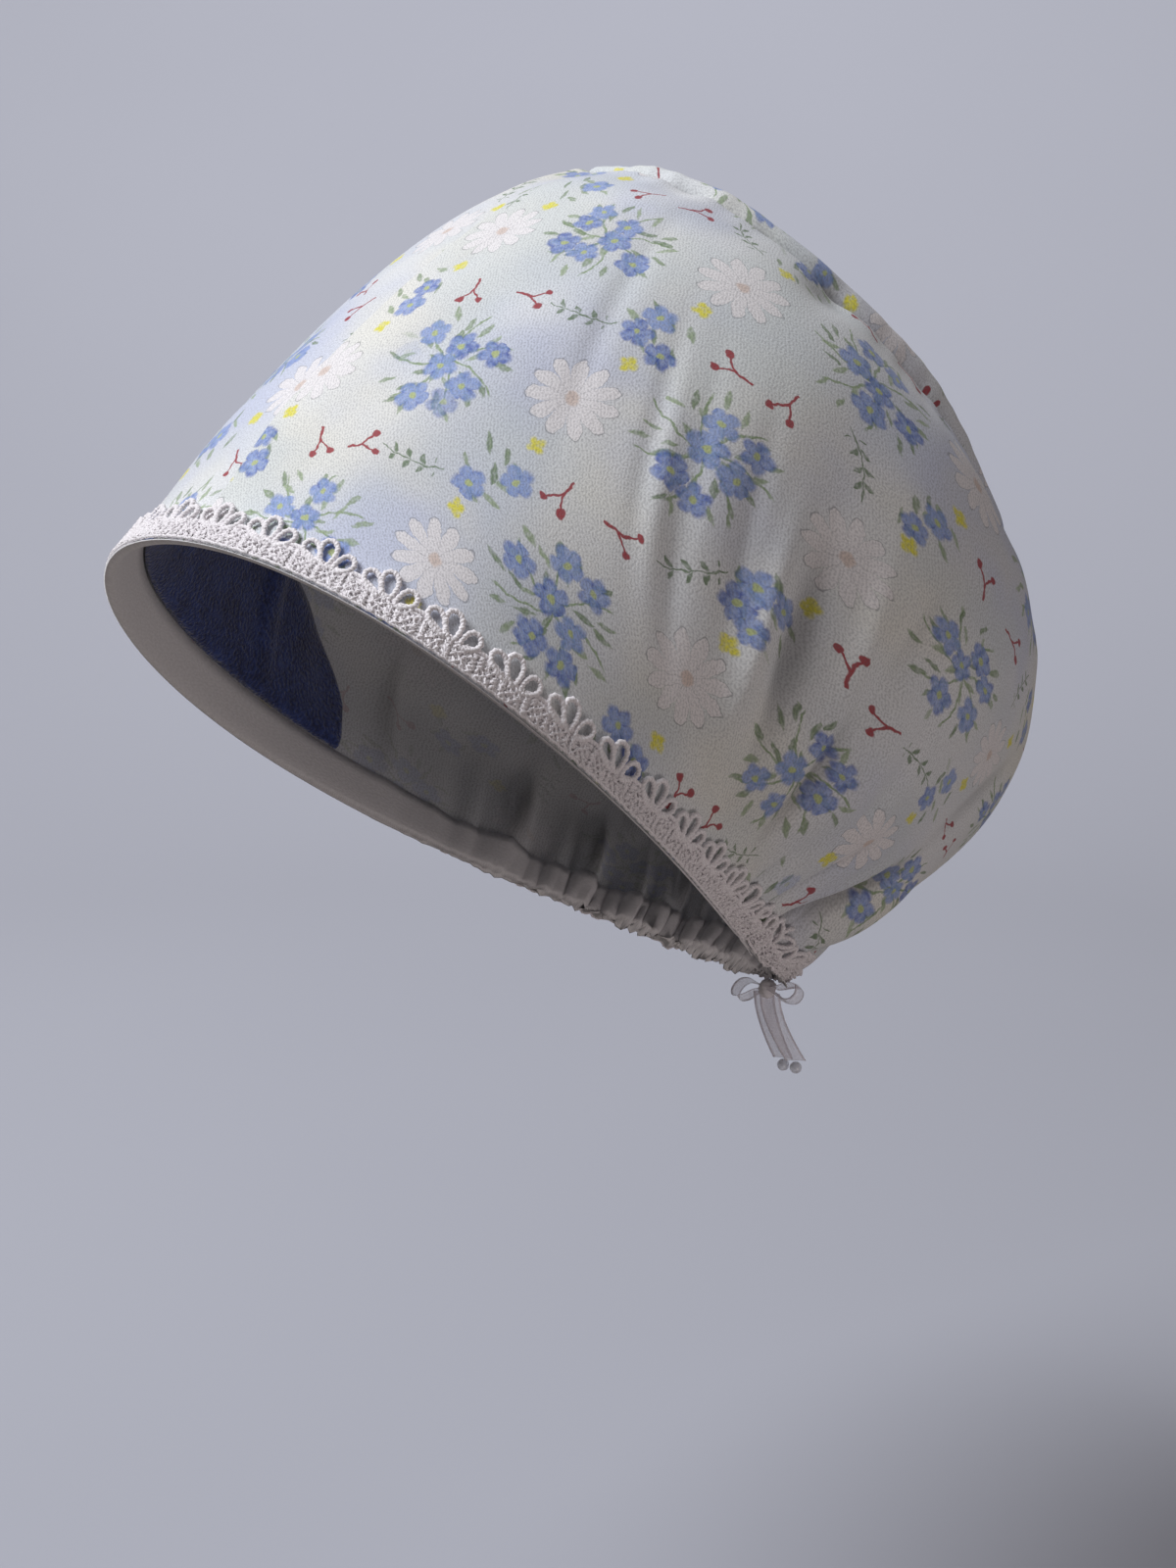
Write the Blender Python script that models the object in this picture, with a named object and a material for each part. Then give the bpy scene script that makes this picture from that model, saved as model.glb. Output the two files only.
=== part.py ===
"""Scrub cap: a printed cloth band and an oval crown, edged with thread lace and tied with a bow.

The wearer faces -Y, the wearer's left is +X and +Z is up. The origin is the middle of the
head opening. Lengths are in metres. A place on the cloth is given by its turn, in degrees
from the forehead towards the wearer's left, and by how far down it is: 0 at the middle of
the crown, 1 at the seam between crown and band, and 2 at the edge round the head.
"""

import math
from collections import namedtuple

import bmesh
import bpy
import numpy as np
from mathutils import Vector

# Head opening, an oval that slopes from the forehead down to the nape
OPENING_LENGTH = 0.251
OPENING_WIDTH = 0.134
OPENING_TILT = 35.2
OPENING_EGG = 0.72
NAPE_ROUNDING = 0.12
EDGE_DIP = 0.016
DIP_LEAN = 0.3

# Crown seam, an oval above and behind the opening
CROWN_LENGTH = 0.200
CROWN_WIDTH = 0.130
CROWN_TILT = 46.8
CROWN_SETBACK = 0.1020
CROWN_RISE = 0.0865

# How far the cloth swells past the straight line between the seams
CROWN_PUFF = 0.0160
BAND_FULLNESS = 0.026

# Cloth and trims
CLOTH_THICKNESS = 0.0014
SEAM_GAP = 0.0003
HEM_WIDTH = 0.010
HEM_THICKNESS = 0.0010
SWEATBAND_WIDTH = 0.040
SWEATBAND_THICKNESS = 0.0022
SWEATBAND_REACH = 84.0
LACE_WIDTH = 0.0115
LACE_BASE = 0.0045
LACE_PITCH = 0.0165
LACE_THICKNESS = 0.0010
LACE_CLEARANCE = 0.0008
LACE_REACH = 156.0
FAN_PETALS = 3
FAN_SPREAD = 168.0

# A petal of the lace: how far out its root, hollow, notches and tip lie, as shares of the
# fan's reach, and half the widths of its hollow and tip, as shares of the petal's angle
PETAL_ROOT = 0.20
HOLLOW_START = 0.32
HOLLOW_MIDDLE = 0.66
HOLLOW_END = 0.86
NOTCH_REACH = 0.70
HOLLOW_HALF_WIDTH = 0.24
TIP_HALF_WIDTH = 0.20

# Folds and gathers
FOLD_DEPTH = 0.008
GATHER_DEPTH = 0.0020
GATHER_PITCH = 16.0
GATHER_REACH = 62.0

# Bow at the nape: how far its flat side is turned from straight back, and how far its knot
# lies in front of and below the edge there
RIBBON_WIDTH = 0.0062
RIBBON_THICKNESS = 0.0010
RIBBON_TURN = 36.0
KNOT_SIZE = 0.0062
KNOT_FLATNESS = 0.9
KNOT_INSET = 0.0020
KNOT_HANG = 0.0038
LOOP_LENGTH = 0.0140
LOOP_DEPTH = 0.0050
TAIL_LENGTH = 0.0185
TAIL_GAP = 0.0010
TAIL_TWIST = 10.0
BEAD_DIAMETER = 0.0042
LOOP_STEPS = 14
TAIL_STEPS = 6

# Each half of the bow: its side (1 is the wearer's left), how far the loop's end rises as a
# share of LOOP_LENGTH, and how far the tail leans as a share of TAIL_LENGTH
Half = namedtuple("Half", "name side rise lean")
HALVES = (
    Half("left", 1, 0.057, 0.432),
    Half("right", -1, -0.250, 0.324),
)

BAND_COLOR = (0.62, 0.64, 0.66)
CROWN_COLOR = (0.60, 0.62, 0.66)
FACING_COLOR = (0.55, 0.54, 0.56)
SWEATBAND_COLOR = (0.015, 0.018, 0.040)
LACE_COLOR = (0.72, 0.70, 0.72)
RIBBON_COLOR = (0.62, 0.60, 0.66)
BEAD_COLOR = (0.75, 0.74, 0.76)
CLOTH_ROUGHNESS = 0.9
TOWELLING_ROUGHNESS = 1.0
RIBBON_ROUGHNESS = 0.5
BEAD_ROUGHNESS = 0.08

# How far down the seam and the edge are, and the cloth's columns of corners
SEAM = 1.0
EDGE = 2.0
COLUMNS = 76
CROWDING = 0.30

# Rows of corners, as shares of the way down the band, out over the crown and up the sweatband
BAND_ROWS = (0.0, 0.07, 0.17, 0.29, 0.41, 0.53, 0.65, 0.76, 0.85)
CROWN_ROWS = (0.30, 0.58, 0.80, 0.93, 1.0)
SWEATBAND_ROWS = (1.0, 0.67, 0.33, 0.0)

# Small steps over which the cloth's slope and its length are measured
TURN_STEP = 0.5
DOWN_STEP = 0.01
LENGTH_STEP = 0.02

# down, then blend from the crown oval (0) to the opening (1), reach as a share of the oval,
# rise as a share of CROWN_PUFF, egg as a share of the opening's egg shape, and the swell in
# front, at the sides and behind as shares of BAND_FULLNESS
Ring = namedtuple("Ring", "down blend reach rise egg front side back")
RINGS = (
    Ring(0.00, 0.00, 0.00, 1.00, 0.00, 0.00, 0.00, 0.00),
    Ring(0.35, 0.00, 0.38, 0.96, 0.00, 0.00, 0.00, 0.00),
    Ring(0.70, 0.00, 0.76, 0.74, 0.00, 0.00, 0.00, 0.00),
    Ring(0.92, 0.00, 0.97, 0.32, 0.00, 0.00, 0.00, 0.00),
    Ring(1.00, 0.00, 1.00, 0.00, 0.00, 0.00, 0.00, 0.00),
    Ring(1.15, 0.14, 1.00, 0.00, 0.06, 0.36, 0.74, 0.82),
    Ring(1.40, 0.40, 1.00, 0.00, 0.12, 0.49, 1.06, 0.88),
    Ring(1.70, 0.72, 1.00, 0.00, 0.34, 0.35, 0.88, 0.40),
    Ring(1.90, 0.91, 1.00, 0.00, 0.80, 0.09, 0.26, 0.24),
    Ring(2.00, 1.00, 1.00, 0.00, 1.00, 0.00, 0.00, 0.00),
)

# Soft folds and hollows: middle, spreads, and depth as a share of FOLD_DEPTH
Fold = namedtuple("Fold", "turn down turn_spread down_spread slant depth")
FOLDS = (
    Fold(72.0, 1.45, 9.0, 0.30, 0.0, -0.30),
    Fold(112.0, 1.55, 15.0, 0.26, -20.0, -0.45),
    Fold(148.0, 1.74, 12.0, 0.16, -40.0, -0.40),
    Fold(157.0, 1.86, 5.5, 0.20, 0.0, -0.60),
)


def ring_at(down):
    """The ring's values at this depth, on a smooth curve through the table's rows."""
    stops = [ring.down for ring in RINGS]
    after = min(max(np.searchsorted(stops, down, side="right"), 1), len(RINGS) - 1)
    low, high = RINGS[after - 1], RINGS[after]
    before = RINGS[max(after - 2, 0)]
    beyond = RINGS[min(after + 1, len(RINGS) - 1)]
    gap = high.down - low.down
    share = (down - low.down) / gap
    values = []
    for name in Ring._fields[1:]:
        start, end = getattr(low, name), getattr(high, name)
        leave = (end - getattr(before, name)) / (high.down - before.down) * gap
        reach = (getattr(beyond, name) - start) / (beyond.down - low.down) * gap
        values.append(
            start * (1 + 2 * share) * (1 - share) ** 2
            + leave * share * (1 - share) ** 2
            + end * share**2 * (3 - 2 * share)
            + reach * share**2 * (share - 1)
        )
    return Ring(down, *values)


def smooth_point(turn, down):
    """A point of the cloth's outer face before its folds."""
    ring = ring_at(down)
    tilt = math.radians(CROWN_TILT + (OPENING_TILT - CROWN_TILT) * ring.blend)
    half_length = (CROWN_LENGTH + (OPENING_LENGTH - CROWN_LENGTH) * ring.blend) / 2
    half_width = (CROWN_WIDTH + (OPENING_WIDTH - CROWN_WIDTH) * ring.blend) / 2
    forward = Vector((0, -math.cos(tilt), math.sin(tilt)))
    upward = Vector((0, math.sin(tilt), math.cos(tilt)))
    middle = Vector((0, CROWN_SETBACK, CROWN_RISE)) * (1 - ring.blend)
    cosine = math.cos(math.radians(turn))
    sine = math.sin(math.radians(turn))
    across = forward * (half_length * cosine)
    egg = OPENING_EGG * cosine + NAPE_ROUNDING * min(cosine, 0) ** 4
    across.x = half_width * sine * (1 + ring.egg * egg)
    swell = ring.front if cosine > 0 else ring.back
    swell = BAND_FULLNESS * (swell * cosine**2 + ring.side * sine**2)
    spread = ring.reach + swell / across.length
    dip = EDGE_DIP * ring.blend**2 * sine**2 * (1 + DIP_LEAN * cosine)
    return middle + upward * (CROWN_PUFF * ring.rise) + across * spread - Vector((0, 0, dip))


def turn_gap(turn, middle):
    """The shorter way round from the middle to this turn, in degrees."""
    return (turn - middle + 180) % 360 - 180


def fold_height(turn, down):
    """How far folds and gathers lift the cloth here."""
    height = 0.0
    for fold in FOLDS:
        along = (down - fold.down) / fold.down_spread
        for side in (1, -1):
            across = turn_gap(turn, side * (fold.turn + fold.slant * (down - fold.down)))
            height += FOLD_DEPTH * fold.depth * math.exp(-((across / fold.turn_spread) ** 2) - along**2)
    behind = turn_gap(turn, 180)
    if abs(behind) < GATHER_REACH and down > SEAM:
        fade = math.sin(math.pi * behind / GATHER_REACH) ** 2
        drawn = ((down - SEAM) / (EDGE - SEAM)) ** 2
        height -= GATHER_DEPTH * fade * drawn * math.cos(2 * math.pi * behind / GATHER_PITCH)
    return height


def slopes(point_at, turn, down):
    """The unit vector that points out of the cloth here."""
    down = max(down, 5 * DOWN_STEP)
    around = point_at(turn + TURN_STEP, down) - point_at(turn - TURN_STEP, down)
    above = down - DOWN_STEP if down > EDGE - DOWN_STEP else down - DOWN_STEP / 2
    along = point_at(turn, above + DOWN_STEP) - point_at(turn, above)
    return along.cross(around).normalized()


def folded_point(turn, down):
    """A point of the cloth's outer face, folds and gathers included."""
    return smooth_point(turn, down) + slopes(smooth_point, turn, down) * fold_height(turn, down)


def cloth_point(turn, down, out):
    """A point this far outside the cloth's outer face, or inside it where out is negative."""
    if down == 0:
        tilt = math.radians(CROWN_TILT)
        return smooth_point(0, 0) + Vector((0, math.sin(tilt), math.cos(tilt))) * out
    return folded_point(turn, down) + slopes(folded_point, turn, down) * out


def down_at(turn, height):
    """How far down a point lies that is this height above the edge, along the cloth."""
    length = (folded_point(turn, EDGE) - folded_point(turn, EDGE - LENGTH_STEP)).length
    return EDGE - LENGTH_STEP * height / length


def column_turns():
    """The cloth's columns of corners, closer together towards the nape."""
    turns = []
    for column in range(COLUMNS):
        even = 2 * math.pi * column / COLUMNS
        turns.append(math.degrees(even + CROWDING * math.sin(even)))
    return turns


def halved(cells):
    """The cells with each four-cornered one cut the same way, so that layers lie parallel."""
    parts = []
    for cell in cells:
        parts += [cell] if len(cell) != 4 else [cell[:3], (cell[0], *cell[2:])]
    return parts


def solid(name, front, back, cells, color, roughness):
    """Make one closed solid of a sheet of cells that has a front and a back point at each corner."""
    count = len(front)
    cells = halved(cells)
    edges = {pair for cell in cells for pair in zip(cell, cell[1:] + cell[:1])}
    faces = list(cells)
    faces += [tuple(count + corner for corner in reversed(cell)) for cell in cells]
    faces += [(b, a, count + a, count + b) for a, b in sorted(edges) if (b, a) not in edges]
    mesh = bpy.data.meshes.new(name)
    mesh.from_pydata([tuple(point) for point in front + back], [], faces)
    return dressed(name, mesh, color, roughness)


def dressed(name, mesh, color, roughness):
    """Put a mesh in the scene as an object with its own material."""
    shape = bmesh.new()
    shape.from_mesh(mesh)
    bmesh.ops.recalc_face_normals(shape, faces=shape.faces)
    shape.to_mesh(mesh)
    shape.free()
    mesh.shade_smooth()
    mesh.set_sharp_from_angle(angle=math.radians(40))
    material = bpy.data.materials.new(name)
    material.use_nodes = True
    shader = material.node_tree.nodes["Principled BSDF"]
    shader.inputs["Base Color"].default_value = (*color, 1)
    shader.inputs["Roughness"].default_value = roughness
    mesh.materials.append(material)
    thing = bpy.data.objects.new(name, mesh)
    bpy.context.scene.collection.objects.link(thing)
    return thing


def grid_cells(rows, columns, closed, first=0):
    """Four-cornered cells of a grid whose corners are numbered row by row."""
    cells = []
    for row in range(rows - 1):
        for column in range(columns if closed else columns - 1):
            side = (column + 1) % columns
            top, bottom = first + row * columns, first + (row + 1) * columns
            cells.append((top + column, bottom + column, bottom + side, top + side))
    return cells


def cloth_strip(name, turns, downs_at, closed, outside, thickness, color, roughness):
    """A strip of cloth between rows that may follow the edge, from its outer face inwards."""
    places = [(turn, down) for downs in zip(*map(downs_at, turns)) for turn, down in zip(turns, downs)]
    front = [cloth_point(turn, down, outside) for turn, down in places]
    back = [cloth_point(turn, down, outside - thickness) for turn, down in places]
    rows = len(downs_at(turns[0]))
    return solid(name, front, back, grid_cells(rows, len(turns), closed), color, roughness)


def seam_shift(turn):
    """Half of the gap between crown and band, as a change in how far down the cloth is."""
    length = (folded_point(turn, SEAM + LENGTH_STEP) - folded_point(turn, SEAM - LENGTH_STEP)).length
    return SEAM_GAP * LENGTH_STEP / length


def band_panel():
    """The printed band, from the crown seam to the edge round the head."""

    def downs_at(turn):
        top = SEAM + seam_shift(turn)
        rows = [top + (EDGE - top) * share for share in BAND_ROWS]
        return [*rows, down_at(turn, HEM_WIDTH), EDGE]

    look = (BAND_COLOR, CLOTH_ROUGHNESS)
    cloth_strip("band_panel", column_turns(), downs_at, True, 0, CLOTH_THICKNESS, *look)


def crown_panel():
    """The oval panel at the top and back, closed at its middle by a fan of three-cornered cells."""
    turns = column_turns()[::2]
    places = [(0, 0)]
    for share in CROWN_ROWS:
        places += [(turn, share * (SEAM - seam_shift(turn))) for turn in turns]
    front = [cloth_point(turn, down, 0) for turn, down in places]
    back = [cloth_point(turn, down, -CLOTH_THICKNESS) for turn, down in places]
    count = len(turns)
    cells = [(0, 1 + column, 1 + (column + 1) % count) for column in range(count)]
    cells += grid_cells(len(CROWN_ROWS), count, True, first=1)
    solid("crown_panel", front, back, cells, CROWN_COLOR, CLOTH_ROUGHNESS)


def hem_facing():
    """The strip turned inside along the whole edge."""
    inside = -CLOTH_THICKNESS - SEAM_GAP

    def downs_at(turn):
        return [down_at(turn, HEM_WIDTH), EDGE]

    look = (FACING_COLOR, CLOTH_ROUGHNESS)
    cloth_strip("hem_facing", column_turns(), downs_at, True, inside, HEM_THICKNESS, *look)


def sweatband():
    """The towelling strip inside the forehead, just above the hem."""
    inside = -CLOTH_THICKNESS - SEAM_GAP
    turns = sorted(turn_gap(turn, 0) for turn in column_turns())
    turns = [turn for turn in turns if abs(turn) <= SWEATBAND_REACH]

    def downs_at(turn):
        low = HEM_WIDTH + SEAM_GAP
        return [down_at(turn, low + SWEATBAND_WIDTH * share) for share in SWEATBAND_ROWS]

    look = (SWEATBAND_COLOR, TOWELLING_ROUGHNESS)
    cloth_strip("sweatband", turns, downs_at, False, inside, SWEATBAND_THICKNESS, *look)


def edge_turns():
    """The turn at each length along the edge, measured both ways from the forehead."""
    turns = np.linspace(-180, 180, 721)
    points = [folded_point(turn, EDGE) for turn in turns]
    steps = [(b - a).length for a, b in zip(points, points[1:])]
    lengths = np.concatenate([[0], np.cumsum(steps)])
    return turns, lengths - lengths[len(lengths) // 2]


class Plate:
    """Corners and cells of a flat lace pattern, where equal corners are shared."""

    def __init__(self):
        self.corners = []
        self.numbers = {}
        self.cells = []

    def corner(self, along, height):
        key = (round(along * 1e6), round(height * 1e6))
        if key not in self.numbers:
            self.numbers[key] = len(self.corners)
            self.corners.append((along, height))
        return self.numbers[key]

    def cell(self, *places):
        self.cells.append(tuple(self.corner(*place) for place in places))


def lace_fan(plate, start):
    """One repeat of the lace: a piece of its base and a fan of three open petals."""
    middle = start + LACE_PITCH / 2
    end = start + LACE_PITCH
    reach = LACE_WIDTH - LACE_BASE
    width = FAN_SPREAD / FAN_PETALS

    def spoke(angle, radius):
        lean = math.radians(angle)
        return (middle + radius * math.sin(lean), LACE_BASE + radius * math.cos(lean))

    edges = [width * (number - FAN_PETALS / 2) for number in range(FAN_PETALS + 1)]
    roots = [spoke(angle, PETAL_ROOT * reach) for angle in edges]
    for number in range(FAN_PETALS):
        left, right = edges[number], edges[number + 1]
        centre = (left + right) / 2
        side, tip = HOLLOW_HALF_WIDTH * width, TIP_HALF_WIDTH * width
        hollow = (
            spoke(centre, HOLLOW_START * reach),
            spoke(centre - side, HOLLOW_MIDDLE * reach),
            spoke(centre, HOLLOW_END * reach),
            spoke(centre + side, HOLLOW_MIDDLE * reach),
        )
        notches = (spoke(left, NOTCH_REACH * reach), spoke(right, NOTCH_REACH * reach))
        tips = (spoke(centre - tip, reach), spoke(centre + tip, reach))
        plate.cell(roots[number + 1], roots[number], hollow[0])
        plate.cell(roots[number], notches[0], hollow[1], hollow[0])
        plate.cell(notches[0], tips[0], hollow[2], hollow[1])
        plate.cell(tips[0], tips[1], hollow[2])
        plate.cell(tips[1], notches[1], hollow[3], hollow[2])
        plate.cell(notches[1], roots[number + 1], hollow[0], hollow[3])
    top = [(start, LACE_BASE), *roots, (end, LACE_BASE)]
    plate.cell(*top, (end, 0), (middle, 0), (start, 0))


def lace_trim():
    """The lace along the outside of the edge, open at the nape where the bow sits."""
    turns, lengths = edge_turns()
    reach = float(np.interp(LACE_REACH, turns, lengths))
    count = int(2 * reach / LACE_PITCH)
    plate = Plate()
    for number in range(count):
        lace_fan(plate, (number - count / 2) * LACE_PITCH)
    front, back = [], []
    for along, height in plate.corners:
        turn = float(np.interp(along, lengths, turns))
        down = down_at(turn, height)
        back.append(cloth_point(turn, down, LACE_CLEARANCE))
        front.append(cloth_point(turn, down, LACE_CLEARANCE + LACE_THICKNESS))
    solid("lace_trim", front, back, plate.cells, LACE_COLOR, CLOTH_ROUGHNESS)


def ribbon(name, middles, sides):
    """A flat ribbon along these middle points, each with the unit vector across its width."""
    front, back = [], []
    for number, (middle, side) in enumerate(zip(middles, sides)):
        ahead = middles[min(number + 1, len(middles) - 1)] - middles[max(number - 1, 0)]
        half = ahead.cross(side).normalized() * (RIBBON_THICKNESS / 2)
        for share in (-0.5, 0.5):
            front.append(middle + side * (RIBBON_WIDTH * share) + half)
            back.append(middle + side * (RIBBON_WIDTH * share) - half)
    solid(name, front, back, grid_cells(len(middles), 2, False), RIBBON_COLOR, RIBBON_ROUGHNESS)


def ball(name, middle, size, color, roughness):
    """A round piece of this size along X, Y and Z."""
    shape = bmesh.new()
    bmesh.ops.create_uvsphere(shape, u_segments=12, v_segments=8, radius=0.5)
    for corner in shape.verts:
        corner.co = middle + Vector([part * length for part, length in zip(corner.co, size)])
    mesh = bpy.data.meshes.new(name)
    shape.to_mesh(mesh)
    shape.free()
    dressed(name, mesh, color, roughness)


def bow_loop(knot, half):
    """A loop of the bow, out from the knot to one side and back to it."""
    middles, sides = [], []
    start = KNOT_SIZE / 2 + SEAM_GAP
    for number in range(LOOP_STEPS + 1):
        around = math.pi * number / LOOP_STEPS
        out = math.sin(around)
        deep = LOOP_DEPTH / 2 * math.sin(2 * around) + RIBBON_THICKNESS * 0.8 * math.cos(around)
        away = half.side * (start + (LOOP_LENGTH - start) * out)
        middles.append(knot + Vector((away, deep, LOOP_LENGTH * half.rise * out)))
        sides.append(Vector((0, 0, 1)))
    ribbon(f"ribbon_loop_{half.name}", middles, sides)


def bow_tail(knot, half):
    """A tail of the bow that hangs from the knot, and the bead at its end."""
    turn = math.radians(RIBBON_TURN)
    across = Vector((math.cos(turn), math.sin(turn), 0))
    beside = Vector((-math.sin(turn), math.cos(turn), 0)) * (half.side * -TAIL_GAP)
    top = knot + beside + across * (half.side * TAIL_GAP) - Vector((0, 0, KNOT_SIZE / 2 + SEAM_GAP))
    middles, sides = [], []
    for number in range(TAIL_STEPS + 1):
        share = number / TAIL_STEPS
        twist = math.radians(RIBBON_TURN + half.side * TAIL_TWIST * share)
        lean = TAIL_LENGTH * half.lean * share**1.5
        middles.append(top + across * lean - Vector((0, 0, TAIL_LENGTH * share)))
        sides.append(Vector((math.cos(twist), math.sin(twist), 0)))
    ribbon(f"ribbon_tail_{half.name}", middles, sides)
    bead = middles[-1] - Vector((0, 0, BEAD_DIAMETER / 2 + SEAM_GAP))
    ball(f"tail_bead_{half.name}", bead, (BEAD_DIAMETER,) * 3, BEAD_COLOR, BEAD_ROUGHNESS)


def bow():
    """The small ribbon bow under the gathers at the nape."""
    knot = folded_point(180, EDGE) - Vector((0, KNOT_INSET, KNOT_HANG))
    size = (KNOT_SIZE, KNOT_SIZE * KNOT_FLATNESS, KNOT_SIZE)
    ball("ribbon_knot", knot, size, RIBBON_COLOR, RIBBON_ROUGHNESS)
    for half in HALVES:
        bow_loop(knot, half)
        bow_tail(knot, half)


def main():
    """Build the cap."""
    for thing in list(bpy.data.objects):
        bpy.data.objects.remove(thing)
    band_panel()
    crown_panel()
    hem_facing()
    sweatband()
    lace_trim()
    bow()


if __name__ == "__main__":
    main()
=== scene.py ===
"""Scrub cap in printed cotton, with thread lace, a towelling sweatband and a sheer bow.

The wearer faces -Y, the wearer's left is +X and +Z is up. Lengths are in metres unless a
name or docstring says millimetres. A place on the cloth is given by its turn, in degrees
from the forehead towards the wearer's left, and by how far down it is: 0 at the middle of
the crown, 1 at the seam between crown and band, and 2 at the edge round the head.
"""

import logging
import math
from dataclasses import dataclass
from enum import Enum
from typing import Callable

import bmesh
import bpy
import numpy as np
from bpy.types import Material
from bpy.types import NodeSocket as Socket
from bpy.types import Object as Piece
from mathutils import Matrix, Vector
from numpy import ndarray as Array


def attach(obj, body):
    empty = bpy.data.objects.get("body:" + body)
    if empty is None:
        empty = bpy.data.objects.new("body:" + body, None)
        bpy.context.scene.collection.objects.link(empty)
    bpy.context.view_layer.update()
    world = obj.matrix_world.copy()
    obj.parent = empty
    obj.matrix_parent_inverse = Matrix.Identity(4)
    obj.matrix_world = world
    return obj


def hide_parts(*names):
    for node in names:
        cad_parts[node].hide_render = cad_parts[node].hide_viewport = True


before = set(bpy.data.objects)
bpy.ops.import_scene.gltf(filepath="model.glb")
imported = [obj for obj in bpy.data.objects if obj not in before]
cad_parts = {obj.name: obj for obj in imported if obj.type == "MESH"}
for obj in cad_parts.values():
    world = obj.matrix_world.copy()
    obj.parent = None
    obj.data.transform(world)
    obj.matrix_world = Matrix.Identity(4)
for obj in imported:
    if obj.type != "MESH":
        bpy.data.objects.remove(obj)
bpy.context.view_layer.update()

logging.basicConfig(level=logging.INFO, format="%(message)s")
log = logging.getLogger("scrub_cap")

SEAM = 1.0
EDGE = 2.0
BAND_DROP = 0.140
CROWN_DROP = 0.085
EDGE_LENGTH = 0.644
ANY_TURN = 6.28
BODY = "root"


class Side(Enum):
    """The wearer's left or right, as a sign along X."""

    LEFT = 1
    RIGHT = -1


# Numbers in a material's nodes


def feed(tree: bpy.types.NodeTree, slot: Socket, value: "Number | Socket | float | tuple") -> None:
    """Link a socket to what comes out of a node, or set it to a plain value.

    Args:
        tree: The material's nodes.
        slot: The socket that the value goes in.
        value: A number or socket to link, or a plain number or colour.
    """
    value = value.socket if isinstance(value, Number) else value
    if isinstance(value, Socket):
        tree.links.new(value, slot)
    else:
        slot.default_value = (*value, 1) if isinstance(value, tuple) else value


def math_node(operation: str, doc: str, swapped: bool = False) -> "Callable[..., Number]":
    """Make a method of Number that adds one Math node.

    Args:
        operation: The node's operation, in Blender's word for it.
        doc: What the method gives.
        swapped: Whether the other number goes in first.

    Returns:
        The method.
    """

    def method(self: "Number", *others: "Number | float") -> "Number":
        """Add the node.

        Args:
            others: The numbers that go in with this one.

        Returns:
            The number that comes out.
        """
        node = self.tree.nodes.new("ShaderNodeMath")
        node.operation = operation
        values = (self, *others)[:: -1 if swapped else 1]
        for slot, value in zip(node.inputs, values):
            feed(self.tree, slot, value)
        return Number(self.tree, node.outputs[0])

    method.__doc__ = doc
    return method


class Number:
    """A number that comes out of a material's node, for use in sums."""

    def __init__(self, tree: bpy.types.NodeTree, socket: Socket) -> None:
        """Keep the tree and the socket that the number comes out of."""
        self.tree = tree
        self.socket = socket

    __add__ = __radd__ = math_node("ADD", "The sum.")
    __sub__ = math_node("SUBTRACT", "This number less the other.")
    __rsub__ = math_node("SUBTRACT", "The other number less this one.", swapped=True)
    __mul__ = __rmul__ = math_node("MULTIPLY", "The product.")
    __truediv__ = math_node("DIVIDE", "This number over the other.")
    __abs__ = math_node("ABSOLUTE", "The number without its sign.")
    sin = math_node("SINE", "The sine.")
    cos = math_node("COSINE", "The cosine.")
    floor = math_node("FLOOR", "The whole number below.")
    fract = math_node("FRACT", "What is left above the whole number below.")
    round = math_node("ROUND", "The nearest whole number.")
    power = math_node("POWER", "The number to this power.")
    most = math_node("MAXIMUM", "The larger of the two.")
    least = math_node("MINIMUM", "The smaller of the two.")
    root = math_node("SQRT", "The square root.")
    angle = math_node("ARCTAN2", "The angle of the point this high and the other far, in radians.")

    def length(self, other: "Number") -> "Number":
        """The length of the flat arrow with these two sides."""
        return (self * self + other * other).root()

    def ramp(self, low: float, high: float) -> "Number":
        """A soft step.

        Args:
            low: Where the step starts, which is where 0 comes out.
            high: Where it ends, which is where 1 comes out.

        Returns:
            A number from 0 to 1.
        """
        node = self.tree.nodes.new("ShaderNodeMapRange")
        node.interpolation_type = "SMOOTHSTEP"
        self.tree.links.new(self.socket, node.inputs["Value"])
        node.inputs["From Min"].default_value = low
        node.inputs["From Max"].default_value = high
        return Number(self.tree, node.outputs["Result"])


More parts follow.
